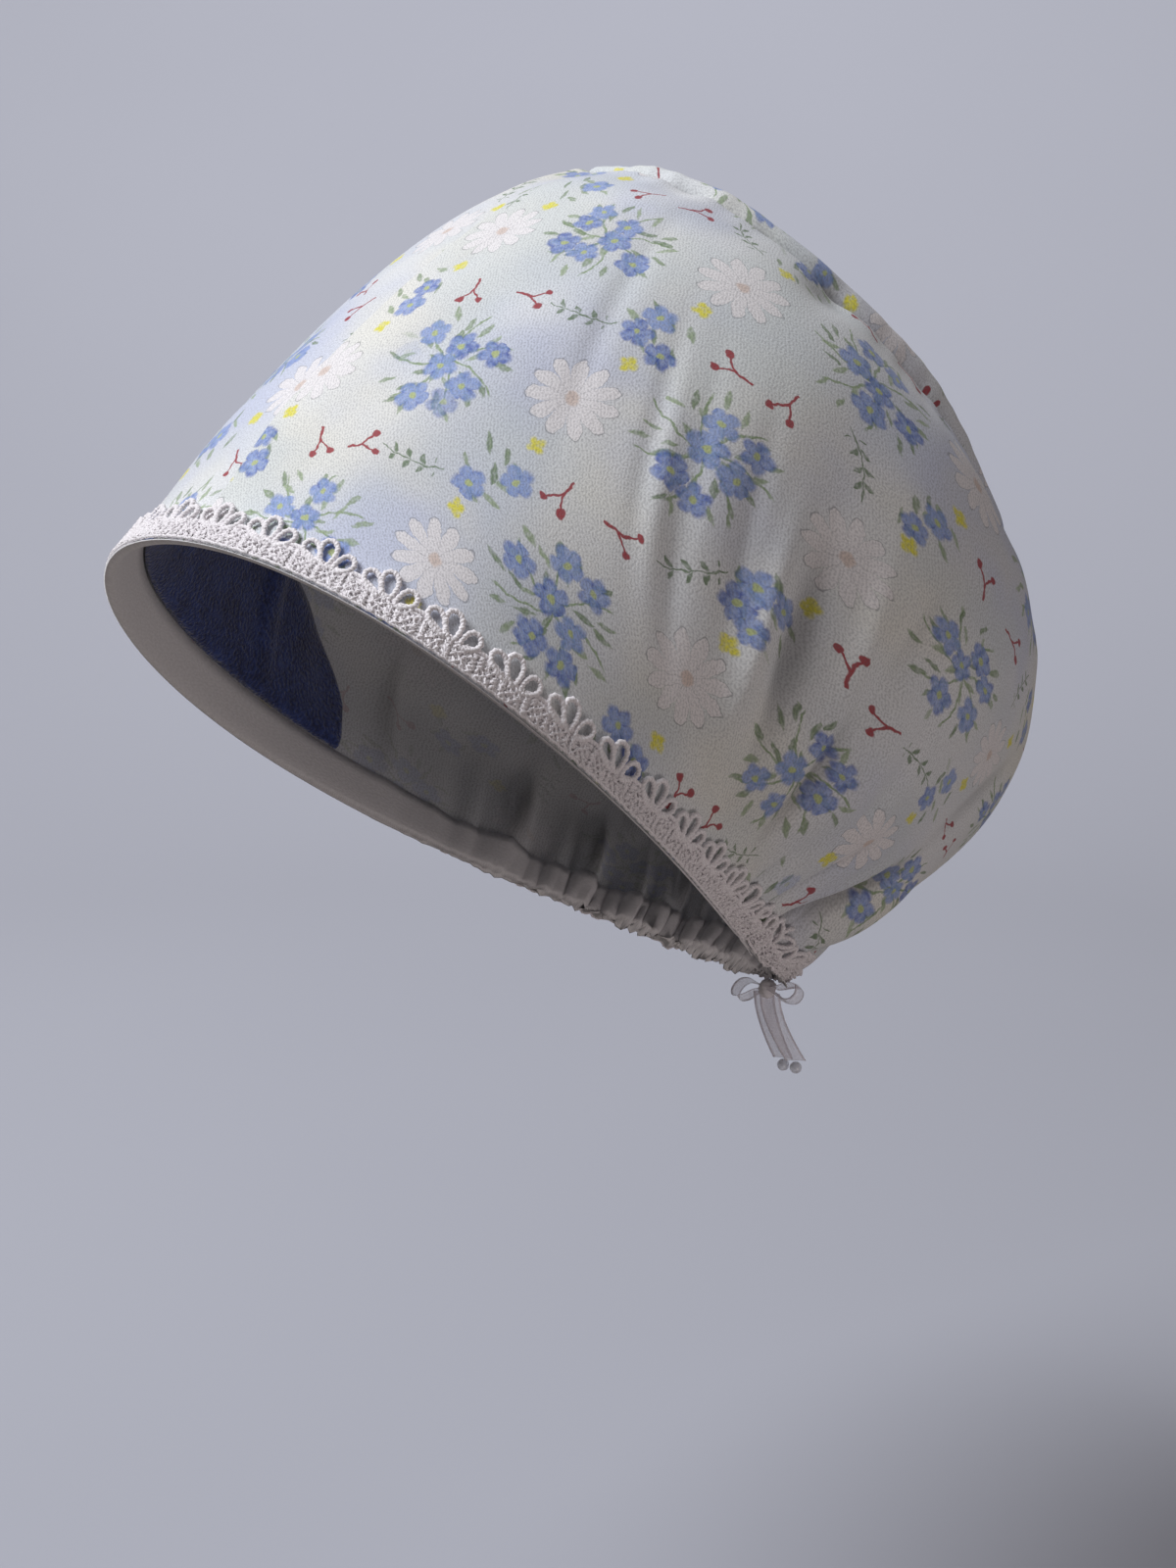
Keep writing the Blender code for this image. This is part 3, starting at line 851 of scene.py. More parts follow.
@dataclass(frozen=True)
class CapForm:
    """The cloth's outer face, as a surface that gives a point for each turn and way down."""

    opening_length: float = 0.251
    opening_width: float = 0.134
    opening_tilt: float = 35.2
    opening_egg: float = 0.72
    nape_rounding: float = 0.12
    edge_dip: float = 0.016
    dip_lean: float = 0.3
    crown_length: float = 0.200
    crown_width: float = 0.130
    crown_tilt: float = 46.8
    crown_setback: float = 0.1020
    crown_rise: float = 0.0865
    crown_puff: float = 0.0160
    band_fullness: float = 0.026
    gather_depth: float = 0.0020
    gather_pitch: float = 16.0
    gather_reach: float = 62.0
    # down, blend, reach, rise, egg, and the swell in front, at the sides and behind
    rings: tuple = (
        (0.00, 0.00, 0.00, 1.00, 0.00, 0.00, 0.00, 0.00),
        (0.35, 0.00, 0.38, 0.96, 0.00, 0.00, 0.00, 0.00),
        (0.70, 0.00, 0.76, 0.74, 0.00, 0.00, 0.00, 0.00),
        (0.92, 0.00, 0.97, 0.32, 0.00, 0.00, 0.00, 0.00),
        (1.00, 0.00, 1.00, 0.00, 0.00, 0.00, 0.00, 0.00),
        (1.15, 0.14, 1.00, 0.00, 0.06, 0.36, 0.74, 0.82),
        (1.40, 0.40, 1.00, 0.00, 0.12, 0.49, 1.06, 0.88),
        (1.70, 0.72, 1.00, 0.00, 0.34, 0.35, 0.88, 0.40),
        (1.90, 0.91, 1.00, 0.00, 0.80, 0.09, 0.26, 0.24),
        (2.00, 1.00, 1.00, 0.00, 1.00, 0.00, 0.00, 0.00),
    )
    folds: tuple = (
        Crease(72.0, 1.45, 9.0, 0.30, 0.0, -0.0024),
        Crease(112.0, 1.55, 15.0, 0.26, -20.0, -0.0036),
        Crease(148.0, 1.74, 12.0, 0.16, -40.0, -0.0032),
        Crease(157.0, 1.86, 5.5, 0.20, 0.0, -0.0048),
    )
    gather_drop: float = 0.130
    # where the painted shade in folds starts, as a depth in metres, and how much deeper it is at its darkest
    shaded_depth: float = 0.0036
    shaded_start: float = 0.0011
    creases: tuple = (
        *creases_on(
            (Side.LEFT,),
            (60.0, 1.66, 1.3, 0.15, 35.0, -0.0014),
            (50.0, 1.5, 1.2, 0.15, 30.0, -0.0010),
            (53.5, 1.56, 1.2, 0.15, 32.0, 0.0008),
            (57.0, 1.52, 1.0, 0.13, 34.0, -0.0010),
            (36.0, 1.38, 1.7, 0.18, 24.0, -0.0009),
            (66.0, 1.58, 1.4, 0.16, 26.0, -0.0013),
            (72.5, 1.66, 1.5, 0.14, 18.0, 0.0028),
            (77.5, 1.66, 2.0, 0.14, 18.0, -0.0036),
            (80.5, 1.64, 4.0, 0.14, 18.0, -0.0016),
            (84.5, 1.6, 1.4, 0.14, 20.0, 0.0014),
            (88.5, 1.75, 1.4, 0.12, 20.0, -0.0030),
            (88.0, 1.5, 1.8, 0.13, -6.0, -0.0017),
            (94.0, 1.7, 2.6, 0.15, 20.0, 0.0024),
            (99.0, 1.7, 1.3, 0.14, 16.0, -0.0017),
            (97.5, 1.87, 1.2, 0.11, 10.0, -0.0020),
            (102.0, 1.86, 2.0, 0.12, 6.0, 0.0016),
            (106.5, 1.86, 1.1, 0.11, 0.0, -0.0022),
            (116.5, 1.87, 2.6, 0.12, -14.0, -0.0105),
            (111.5, 1.86, 1.7, 0.12, -14.0, 0.0012),
            (126.0, 1.84, 4.2, 0.14, -14.0, 0.0050),
            (132.0, 1.87, 1.4, 0.12, -16.0, -0.0034),
            (137.5, 1.83, 2.5, 0.14, -16.0, 0.0020),
            (143.0, 1.87, 1.4, 0.12, -18.0, -0.0034),
            (124.0, 1.46, 3.4, 0.16, -26.0, -0.0026),
            (104.0, 1.36, 4.0, 0.14, -20.0, 0.0017),
            (139.0, 1.66, 2.2, 0.18, -10.0, -0.0028),
        ),
        *creases_on(
            (Side.RIGHT,),
            (48.0, 1.62, 1.6, 0.18, -20.0, -0.0012),
            (56.0, 1.5, 1.2, 0.15, 25.0, -0.0009),
            (66.0, 1.7, 1.4, 0.16, 20.0, -0.0018),
            (75.0, 1.6, 2.4, 0.2, 20.0, 0.0017),
            (90.0, 1.74, 1.5, 0.15, 8.0, -0.0028),
            (101.0, 1.78, 2.4, 0.16, 4.0, 0.0020),
            (110.0, 1.85, 1.5, 0.13, -8.0, -0.0042),
            (122.0, 1.87, 1.3, 0.13, -10.0, -0.0030),
            (129.0, 1.62, 2.6, 0.2, -18.0, -0.0026),
            (138.0, 1.87, 1.4, 0.12, -14.0, -0.0032),
        ),
        *creases_on(
            (Side.LEFT,),
            (55.0, 1.03, 4.5, 0.09, 0.0, -0.0026),
            (76.0, 0.90, 10.0, 0.09, 0.0, 0.0022),
            (97.0, 1.04, 4.0, 0.07, 0.0, -0.0018),
            (22.0, 1.02, 3.5, 0.06, 0.0, -0.0016),
        ),
        *creases_on(
            (Side.RIGHT,),
            (8.0, 1.04, 2.5, 0.09, 0.0, 0.0016),
            (44.0, 1.03, 4.0, 0.08, 0.0, -0.0022),
            (82.0, 1.02, 5.0, 0.08, 0.0, -0.0022),
        ),
        *creases_on(
            tuple(Side),
            (132.0, 1.03, 5.0, 0.09, 0.0, -0.0018),
        ),
    )

    def ring(self, down: Array) -> Array:
        """The ring table's values at each way down, on a smooth curve through its rows.

        Args:
            down: How far down each place is.

        Returns:
            One row of the table's eight values for each place.
        """
        table = np.array(self.rings)
        last = len(table) - 1
        after = np.clip(np.searchsorted(table[:, 0], down, side="right"), 1, last)
        low, high = table[after - 1], table[after]
        before, beyond = table[np.maximum(after - 2, 0)], table[np.minimum(after + 1, last)]
        gap = high[:, :1] - low[:, :1]
        share = (down[:, None] - low[:, :1]) / gap
        leave = (high - before) / (high[:, :1] - before[:, :1]) * gap
        reach = (beyond - low) / (beyond[:, :1] - low[:, :1]) * gap
        return (
            low * (1 + 2 * share) * (1 - share) ** 2
            + leave * share * (1 - share) ** 2
            + high * share**2 * (3 - 2 * share)
            + reach * share**2 * (share - 1)
        )

    def smooth(self, turn: Array, down: Array) -> Array:
        """Points of the cloth's outer face before any fold.

        Args:
            turn: Each place's turn in degrees.
            down: How far down each place is.

        Returns:
            One point for each place.
        """
        _, blend, reach, rise, egg, front, side, back = self.ring(down).T
        tilt = np.radians(self.crown_tilt + (self.opening_tilt - self.crown_tilt) * blend)
        half_length = (self.crown_length + (self.opening_length - self.crown_length) * blend) / 2
        half_width = (self.crown_width + (self.opening_width - self.crown_width) * blend) / 2
        cosine, sine = np.cos(np.radians(turn)), np.sin(np.radians(turn))
        bend = self.opening_egg * cosine + self.nape_rounding * np.minimum(cosine, 0) ** 4
        across = np.stack(
            [
                half_width * sine * (1 + egg * bend),
                -np.cos(tilt) * half_length * cosine,
                np.sin(tilt) * half_length * cosine,
            ],
            axis=1,
        )
        swell = np.where(cosine > 0, front, back) * cosine**2 + side * sine**2
        spread = reach + self.band_fullness * swell / np.linalg.norm(across, axis=1)
        upward = np.stack([np.zeros_like(tilt), np.sin(tilt), np.cos(tilt)], axis=1)
        middle = np.outer(1 - blend, [0, self.crown_setback, self.crown_rise])
        dip = self.edge_dip * blend**2 * sine**2 * (1 + self.dip_lean * cosine)
        point = middle + upward * (self.crown_puff * rise)[:, None] + across * spread[:, None]
        point[:, 2] -= dip
        return point

    def fold_height(self, turn: Array, down: Array) -> Array:
        """How far folds, gathers and fine wrinkles lift the cloth at each place.

        Args:
            turn: Each place's turn in degrees.
            down: How far down each place is.

        Returns:
            The lift outwards, in metres.
        """
        behind = turn_gap(turn, 180.0)
        fade = np.sin(np.pi * np.clip(behind / self.gather_reach, -1, 1)) ** 2
        drawn = np.clip((down - SEAM) / (EDGE - SEAM), 0, 1) ** 2
        gather = self.gather_depth * fade * drawn * np.cos(2 * np.pi * behind / self.gather_pitch)
        height = self.lifted(self.folds + self.creases, turn, down) - gather
        return height + self.wrinkles(turn, down)

    def lifted(self, folds: tuple, turn: Array, down: Array) -> Array:
        """How far these folds lift the cloth at each place.

        Args:
            folds: The creases that count.
            turn: Each place's turn in degrees.
            down: How far down each place is.

        Returns:
            The lift outwards, in metres.
        """
        height = np.zeros_like(turn)
        for fold in folds:
            along = (down - fold.down) / fold.down_spread
            for side in fold.sides:
                middle = side.value * (fold.turn + fold.slant * (down - fold.down))
                across = turn_gap(turn, middle) / fold.turn_spread
                height += fold.height * np.exp(-(across**2) - along**2)
        return height

    def painted_fold_shade(self, turn: Array, down: Array) -> Array:
        """How deep each place lies in a narrow fold or pleat, from 0 to 1."""
        height = self.lifted(self.creases, turn, down) * 1.3 + self.wrinkles(turn, down) * 2.2
        return np.clip(-(height + self.shaded_start) / self.shaded_depth, 0, 1)

    def wrinkles(self, turn: Array, down: Array) -> Array:
        """The fine gathers behind, puckers along the crown seam and faint waves.

        Args:
            turn: Each place's turn in degrees.
            down: How far down each place is.

        Returns:
            How far each place is lifted.
        """
        behind = turn_gap(turn, 180.0)
        above = np.maximum(EDGE - down, 0) * self.gather_drop
        window = np.clip((92.0 - np.abs(behind)) / 34.0, 0, 1) ** 1.5
        bend = 0.8 * np.sin(behind * 0.17) + 0.5 * np.sin(behind * 0.41 + 1.0)
        tight = np.abs(np.sin(np.pi * behind / 2.1 + bend * 1.4 + 6.0 * above)) ** 0.7 - 0.62
        wide = np.abs(np.sin(np.pi * behind / 5.2 + bend * 1.2 + 0.4)) ** 0.7 - 0.62
        height = 0.0024 * window * np.exp(-((above / 0.013) ** 1.5)) * tight
        height += 0.0036 * window * np.exp(-(((above - 0.015) / 0.017) ** 2)) * wide
        around = np.radians(turn)
        from_seam = np.abs(down - SEAM) * np.where(down > SEAM, BAND_DROP, CROWN_DROP)
        pucker = np.cos(61 * around + 2.0 * np.sin(5 * around)) * np.sin(3 * around + 0.6)
        pucker += 0.6 * np.cos(38 * around + 1.0) * np.cos(2 * around)
        height += 0.00022 * np.exp(-from_seam / 0.008) * pucker
        height += 0.00050 * np.exp(-(((from_seam - 0.0035) / 0.0025) ** 2))
        height -= 0.00150 * np.exp(-((from_seam / 0.0012) ** 2))
        wave = np.sin(7 * around + 5.1 * down) * np.cos(3 * around - 7.3 * down)
        wave += 0.6 * np.sin(16 * around + 11.0 * down + np.sin(3 * around) * 2)
        fade = np.clip(down, 0, 1) * np.clip((EDGE - down) * 8, 0, 1)
        return height + 0.00040 * wave * fade

    def outward(self, face: str, turn: Array, down: Array, step: float = 0.25) -> Array:
        """Unit arrows that point out of the cloth.

        Args:
            face: The method that gives the face's points, smooth or folded.
            turn: Each place's turn in degrees.
            down: How far down each place is.
            step: Half the turn over which the slope is measured.

        Returns:
            One arrow for each place.
        """
        points = getattr(self, face)
        down = np.maximum(down, 0.05)
        around = points(turn + step, down) - points(turn - step, down)
        low = np.minimum(down + 0.004, EDGE)
        along = points(turn, low) - points(turn, down - 0.004)
        return unit(np.cross(along, around))

    def folded(self, turn: Array, down: Array) -> Array:
        """Points of the cloth's outer face with its folds."""
        lift = self.outward("smooth", turn, down) * self.fold_height(turn, down)[:, None]
        return self.smooth(turn, down) + lift

    def face(self, turn: Array, down: Array, out: "float | Array" = 0.0) -> Array:
        """Points this far outside the cloth's outer face, or inside it where out is negative."""
        out = np.broadcast_to(out, turn.shape)
        return self.folded(turn, down) + self.outward("folded", turn, down, 0.6) * out[:, None]

    def down_at(self, turn: Array, height: "float | Array") -> Array:
        """How far down the places lie that are this height above the edge, along the cloth.

        Args:
            turn: Each place's turn in degrees.
            height: Its height above the edge.

        Returns:
            The way down at each place.
        """
        step = 0.06
        edge = self.smooth(turn, np.full_like(turn, EDGE))
        length = np.linalg.norm(edge - self.smooth(turn, np.full_like(turn, EDGE - step)), axis=1)
        return EDGE - step * height / length

    def edge_lengths(self) -> tuple[Array, Array]:
        """The turn at each length along the edge.

        Returns:
            Turns from -180 to 180 degrees, and their lengths along the edge from the forehead.
        """
        turns = np.linspace(-180, 180, 1441)
        points = self.smooth(turns, np.full_like(turns, EDGE))
        lengths = lengths_along(points)
        return turns, lengths - lengths[len(lengths) // 2]


def turn_gap(turn: Array, middle: "float | Array") -> Array:
    """The shorter way round from the middle to each turn, in degrees."""
    return (turn - middle + 180) % 360 - 180


def unit(arrows: Array) -> Array:
    """The arrows, each made one long."""
    return arrows / np.linalg.norm(arrows, axis=1)[:, None]


def lengths_along(points: Array) -> Array:
    """How far along a line of points each of them lies."""
    return np.concatenate([[0], np.cumsum(np.linalg.norm(np.diff(points, axis=0), axis=1))])


def crowded_turns(count: int, crowding: float = 0.48) -> Array:
    """Turns all the way round, closer together towards the nape, with the first repeated last."""
    even = np.linspace(0, 2 * np.pi, count + 1)
    return np.degrees(even + crowding * np.sin(even))


# Meshes


def clear_selection() -> None:
    """Deselect everything."""
    bpy.ops.object.select_all(action="DESELECT")


def pick(thing: Piece) -> None:
    """Select this object alone and make it active.

    Args:
        thing: The object.
    """
    clear_selection()
    thing.select_set(True)
    bpy.context.view_layer.objects.active = thing


def apply_modifier(thing: Piece, kind: str, **settings: object) -> None:
    """Add a modifier and apply it.

    Args:
        thing: The object that gets it.
        kind: The modifier, in Blender's word for it.
        settings: Its settings by name.
    """
    pick(thing)
    modifier = thing.modifiers.new(kind.title(), kind)
    for name, value in settings.items():
        setattr(modifier, name, value)
    bpy.ops.object.modifier_apply(modifier=modifier.name)


def outward_normals(thing: Piece) -> None:
    """Turn a closed shell's faces outwards, so that the room inside it counts as positive.

    Args:
        thing: The closed shell's object.
    """
    pick(thing)
    bpy.ops.object.mode_set(mode="EDIT")
    bpy.ops.mesh.select_all(action="SELECT")
    bpy.ops.mesh.normals_make_consistent(inside=False)
    bpy.ops.object.mode_set(mode="OBJECT")
    shape = bmesh.new()
    shape.from_mesh(thing.data)
    if shape.calc_volume(signed=True) < 0:
        bmesh.ops.reverse_faces(shape, faces=shape.faces)
        shape.to_mesh(thing.data)
    shape.free()


class Shell:
    """Corners and faces of one piece, with a flat place for each face's corner."""

    def __init__(self) -> None:
        """Start empty."""
        self.points: list[Array] = []
        self.faces: list[tuple[int, ...]] = []
        self.flat: list[Array] = []
        self.count = 0

    def grid(
        self, points: Array, flat: Array, closed_rows: bool = False, closed_columns: bool = False
    ) -> int:
        """Add a grid of four-cornered faces.

        Args:
            points: Rows of columns of points. Faces look along rows crossed with columns.
            flat: The flat place of each, with one more row or column than points where closed.
            closed_rows: Whether the last row joins the first.
            closed_columns: Whether the last column joins the first.

        Returns:
            The number of the grid's first corner.
        """
        rows, columns = points.shape[:2]
        row = np.arange(rows if closed_rows else rows - 1)[:, None]
        column = np.arange(columns if closed_columns else columns - 1)[None, :]
        row, column = [part.ravel() for part in np.broadcast_arrays(row, column)]
        below, beside = (row + 1) % rows, (column + 1) % columns
        corners = np.stack(
            [
                row * columns + column,
                below * columns + column,
                below * columns + beside,
                row * columns + beside,
            ],
            axis=1,
        )
        first = self.count
        self.faces += [tuple(face) for face in (corners + first).tolist()]
        for down, right in ((0, 0), (1, 0), (1, 1), (0, 1)):
            self.flat.append(flat[row + down, column + right])
        self.flat[-4:] = [np.stack(self.flat[-4:], axis=1).reshape(-1, 2)]
        self.points.append(points.reshape(-1, 3))
        self.count += rows * columns
        return first

    def fan(self, hub: Array, hub_flat: Array, ring: list[int], ring_flat: Array) -> None:
        """Close a hole with three-cornered faces round a new point.

        Args:
            hub: The new point.
            hub_flat: Its flat place.
            ring: The hole's corners in order.
            ring_flat: Their flat places, with the first repeated last.
        """
        middle = self.count
        self.points.append(np.array([hub]))
        self.count += 1
        for number, corner in enumerate(ring):
            self.faces.append((middle, corner, ring[(number + 1) % len(ring)]))
            self.flat.append(np.array([hub_flat, ring_flat[number], ring_flat[number + 1]]))

    def tube(
        self, path: Array, radius: "float | Array", upward: Array, sides: int = 5, closed: bool = False
    ) -> None:
        """Add a round thread.

        Args:
            path: The points along its middle.
            radius: Its radius, or one for each point.
            upward: An arrow at each point that stands off the path.
            sides: How many flat sides it has.
            closed: Whether its end joins its start.
        """
        if closed:
            ahead = np.roll(path, -1, axis=0) - np.roll(path, 1, axis=0)
        else:
            ahead = np.gradient(path, axis=0)
        ahead = unit(ahead)
        beside = unit(np.cross(ahead, upward))
        upright = np.cross(beside, ahead)
        angle = np.arange(sides) * (2 * np.pi / sides)
        spread = np.broadcast_to(radius, len(path))[:, None, None]
        cosine, sine = np.cos(angle)[None, :, None], np.sin(angle)[None, :, None]
        points = path[:, None] + (beside[:, None] * cosine + upright[:, None] * sine) * spread
        steps = np.linalg.norm(np.diff(path, axis=0, append=path[:1]), axis=1)
        along = np.concatenate([[0], np.cumsum(steps)])[: len(path) + (1 if closed else 0)]
        flat = np.stack(np.meshgrid(along, np.arange(sides + 1) / sides, indexing="ij"), axis=2)
        first = self.grid(points, flat, closed_rows=closed, closed_columns=True)
        if not closed:
            last = first + (len(path) - 1) * sides
            for start, order in ((first, 1), (last, -1)):
                self.faces.append(tuple(range(start, start + sides))[::order])
                self.flat.append(np.zeros((sides, 2)))

    def thing(self, name: str, *materials: Material) -> Piece:
        """Make the object.

        Args:
            name: The object's name.
            materials: Its materials in order.

        Returns:
            The new object, smooth shaded, with the UV map named cloth.

        Raises:
            ValueError: If a corner's place came out of the sums as no number.
        """
        points = np.concatenate(self.points)
        if not np.isfinite(points).all():
            raise ValueError(f"{name} has a corner without a place")
        mesh = bpy.data.meshes.new(name)
        mesh.from_pydata(points.tolist(), [], self.faces)
        layer = mesh.uv_layers.new(name="cloth")
        layer.data.foreach_set("uv", np.concatenate(self.flat).astype(np.float32).ravel())
        for material in materials:
            mesh.materials.append(material)
        mesh.shade_smooth()
        piece = bpy.data.objects.new(name, mesh)
        bpy.context.scene.collection.objects.link(piece)
        log.info("%s: %d faces", name, len(self.faces))
        return piece


def carry(piece: Piece, slot: str, *nodes: str) -> Piece:
    """Let a piece ride on the cap in place of its solids.

    Args:
        piece: The new piece.
        slot: The record's material slot that it takes its finish from.
        nodes: The solids that it stands for.

    Returns:
        The piece.
    """
    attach(piece, BODY)
    if nodes:
        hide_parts(*nodes)
    return piece


# Sub-assemblies


@dataclass
class ClothShells:
    """The printed band and crown."""

    form: CapForm
    columns: int = 480
    band_rows: int = 94
    crown_rows: int = 40
    cloth_thickness: float = 0.0008
    seam_gap: float = 0.00006
    allowance: float = 0.0030
    rim_radius: float = 0.832
    seam_radius: float = 0.677
    sector: float = 44.0
    print_turn: float = 30.0

    def build(self) -> tuple[Piece, Piece]:
        """Build both shells.

        Returns:
            The band and the crown.
        """
        outside = PrintedCotton("printed_cotton").material()
        inside = PrintedCotton("printed_cotton_reverse", print_share=0.28).material()
        band = self.band()
        crown = self.crown()
        for piece in (band, crown):
            piece.data.materials.append(outside)
            piece.data.materials.append(inside)
            apply_modifier(
                piece,
                "SOLIDIFY",
                thickness=self.cloth_thickness,
                offset=-1.0,
                use_rim=True,
                material_offset=1,
                material_offset_rim=1,
            )
            piece.data.shade_smooth()
        return band, crown

    def place(self, turns: Array, downs: Array, inwards: Array) -> tuple:
        """Place a grid of the cloth, with rows turned inwards as seam allowance.

        Args:
            turns: The turn of each column.
            downs: How far down each row is.
            inwards: How far outside the cloth each row lies, below zero for inside.

        Returns:
            The points, row by row, and how deep each lies in a fold.
        """
        turn, down = [part.ravel() for part in np.meshgrid(turns, downs)]
        out = np.repeat(inwards, len(turns))[:, None]
        points = self.form.folded(turn, down) + self.form.outward("smooth", turn, down) * out
        return points.reshape(len(downs), len(turns), 3), self.form.painted_fold_shade(turn, down)

    def shaded(self, piece: Piece, painted_fold_shade: Array) -> Piece:
        """Give each corner of a piece the depth at which it lies in a fold.

        Args:
            piece: The band or the crown.
            hollow: The depth at each corner, from 0 to 1.

        Returns:
            The piece.
        """
        layer = piece.data.attributes.new("painted_fold_shade", "FLOAT", "POINT")
        layer.data.foreach_set("value", painted_fold_shade.astype(np.float32))
        return piece

    def band(self) -> Piece:
        """The band, cut flat as part of a ring.

        Returns:
            The band before it gets its thickness.
        """
        turns = crowded_turns(self.columns)
        top = SEAM + self.seam_gap / BAND_DROP
        share = np.linspace(0, 1, self.band_rows)
        downs = top + (EDGE - top) * (share - 0.72 * np.sin(2 * np.pi * share) / (2 * np.pi))
        downs = np.concatenate([[top, top], downs])
        inwards = np.zeros_like(downs)
        inwards[:2] = (-self.allowance, -self.allowance / 2)
        points, painted_fold_shade = self.place(turns[:-1], downs, inwards)
        flat_turn, flat_down = np.meshgrid(turns, downs + inwards / BAND_DROP)
        angle = np.radians((flat_turn / 360.0 - 0.5) * self.sector)
        radius = self.seam_radius + (self.rim_radius - self.seam_radius) * (flat_down - SEAM)
        flat = np.stack([radius * np.sin(angle), -radius * np.cos(angle)], axis=2)
        lean = math.radians(self.print_turn)
        spin = np.array([[math.cos(lean), math.sin(lean)], [-math.sin(lean), math.cos(lean)]])
        shell = Shell()
        shell.grid(points, flat @ spin, closed_columns=True)
        return carry(self.shaded(shell.thing("printed_band"), painted_fold_shade), "band_panel", "band_panel")

    def crown(self) -> Piece:
        """The crown, cut flat as an oval.

        Returns:
            The crown before it gets its thickness.
        """
        turns = crowded_turns(self.columns)
        rim = SEAM - self.seam_gap / CROWN_DROP
        downs = rim * (1 - 0.96 * (1 - np.linspace(0, 1, self.crown_rows)) ** 1.7)
        downs = np.concatenate([downs, [rim, rim]])
        inwards = np.zeros_like(downs)
        inwards[-2:] = (-self.allowance / 2, -self.allowance)
        points, painted_fold_shade = self.place(turns[:-1], downs, inwards)
        flat_turn, flat_down = np.meshgrid(np.radians(turns), downs - inwards / CROWN_DROP)
        flat = np.stack(
            [
                self.form.crown_width / 2 * 1.08 * flat_down * np.sin(flat_turn),
                self.form.crown_length / 2 * 1.04 * flat_down * np.cos(flat_turn),
            ],
            axis=2,
        )
        shell = Shell()
        shell.grid(points, flat, closed_columns=True)
        hub = self.form.smooth(np.zeros(1), np.zeros(1))[0]
        shell.fan(hub, np.zeros(2), list(range(self.columns)), flat[0])
        painted_fold_shade = np.append(painted_fold_shade, 0.0)
        return carry(self.shaded(shell.thing("printed_crown"), painted_fold_shade), "crown_panel", "crown_panel")


@dataclass
class EdgeStrips:
    """The facing tape round the edge and the towelling sweatband inside the forehead."""

    form: CapForm
    columns: int = 480
    facing_height: float = 0.0115
    facing_thickness: float = 0.0004
    inside: float = -0.0014
    sweatband_low: float = 0.0118
    sweatband_height: float = 0.0385
    sweatband_thickness: float = 0.0022
    sweatband_reach: float = 84.0

    def strip(
        self,
        name: str,
        turns: Array,
        profile: Array,
        closed: bool,
        material: Material,
        taper: "Array | None" = None,
    ) -> Piece:
        """A strip along the edge.

        Args:
            name: The piece's name.
            turns: The turns that it passes, with the first repeated last where it is closed.
            profile: Its cross-section, as heights above the edge and distances out.
            closed: Whether it goes all the way round.
            material: Its finish.
            taper: Its width at each turn, as a share of the whole cross-section's.

        Returns:
            The strip as a closed shell.
        """
        around = turns[:-1] if closed else turns
        turn, height = np.meshgrid(around, profile[:, 0])
        if taper is not None:
            height = self.sweatband_low + (height - self.sweatband_low) * taper[None, :]
        out = np.broadcast_to(profile[:, 1:], turn.shape)
        down = self.form.down_at(turn.ravel(), height.ravel())
        points = self.form.face(turn.ravel(), down, out.ravel()).reshape(*turn.shape, 3)
        if closed:
            along = np.linspace(0, EDGE_LENGTH, len(turns))
        else:
            along = np.interp(turns, *self.form.edge_lengths())
        loop = np.vstack([profile, profile[:1]])
        way = lengths_along(loop)
        flat = np.stack(np.meshgrid(along, way), axis=2)
        shell = Shell()
        first = shell.grid(points, flat, closed_rows=True, closed_columns=closed)
        if not closed:
            rows, columns = turn.shape
            for column, order in ((0, 1), (columns - 1, -1)):
                ring = [first + row * columns + column for row in range(rows)]
                shell.faces.append(tuple(ring)[::order])
                shell.flat.append(np.zeros((rows, 2)))
        piece = shell.thing(name, material)
        outward_normals(piece)
        return piece

    def facing(self) -> Piece:
        """The pale tape that is folded round the edge and sewn down inside.

        Returns:
            The facing tape.
        """
        middle = np.array(
            [
                (self.facing_height, self.inside - 0.0002),
                (self.facing_height * 0.75, self.inside - 0.0003),
                (self.facing_height * 0.5, self.inside - 0.0003),
                (self.facing_height * 0.25, self.inside - 0.0003),
                (0.0004, self.inside - 0.0001),
                (-0.0002, self.inside + 0.0002),
                (-0.0005, -0.0008),
                (-0.0005, -0.0003),
                (-0.0003, 0.0001),
            ]
        )
        ahead = unit(np.gradient(middle, axis=0))
        side = np.stack([-ahead[:, 1], ahead[:, 0]], axis=1) * (self.facing_thickness / 2)
        profile = np.vstack([middle + side, (middle - side)[::-1]])
        cotton = PlainCotton("facing_tape", srgb(250, 248, 251)).material()
        piece = self.strip("facing_tape", crowded_turns(self.columns), profile, True, cotton)
        return carry(piece, "hem_facing", "hem_facing")

    def sweatband(self) -> Piece:
        """The soft towelling strip, thicker in its middle than at its sewn edges.

        Returns:
            The sweatband.
        """
        share = np.linspace(0, 1, 22)
        height = self.sweatband_low + self.sweatband_height * share
        swell = (1 - (2 * share - 1) ** 8) * 0.75 + 0.25
        inner = np.stack([height, self.inside - 0.0002 - self.sweatband_thickness * swell], axis=1)
        outer = np.stack([height, np.full_like(height, self.inside - 0.0001)], axis=1)
        profile = np.vstack([inner, outer[::-4]])
        turns = np.linspace(-self.sweatband_reach, self.sweatband_reach, 240)
        taper = 0.12 + 0.88 * (1 - (np.abs(turns) / self.sweatband_reach) ** 9) ** 0.5
        piece = self.strip("towelling_sweatband", turns, profile, False, Towelling().material(), taper)
        return carry(piece, "sweatband", "sweatband")


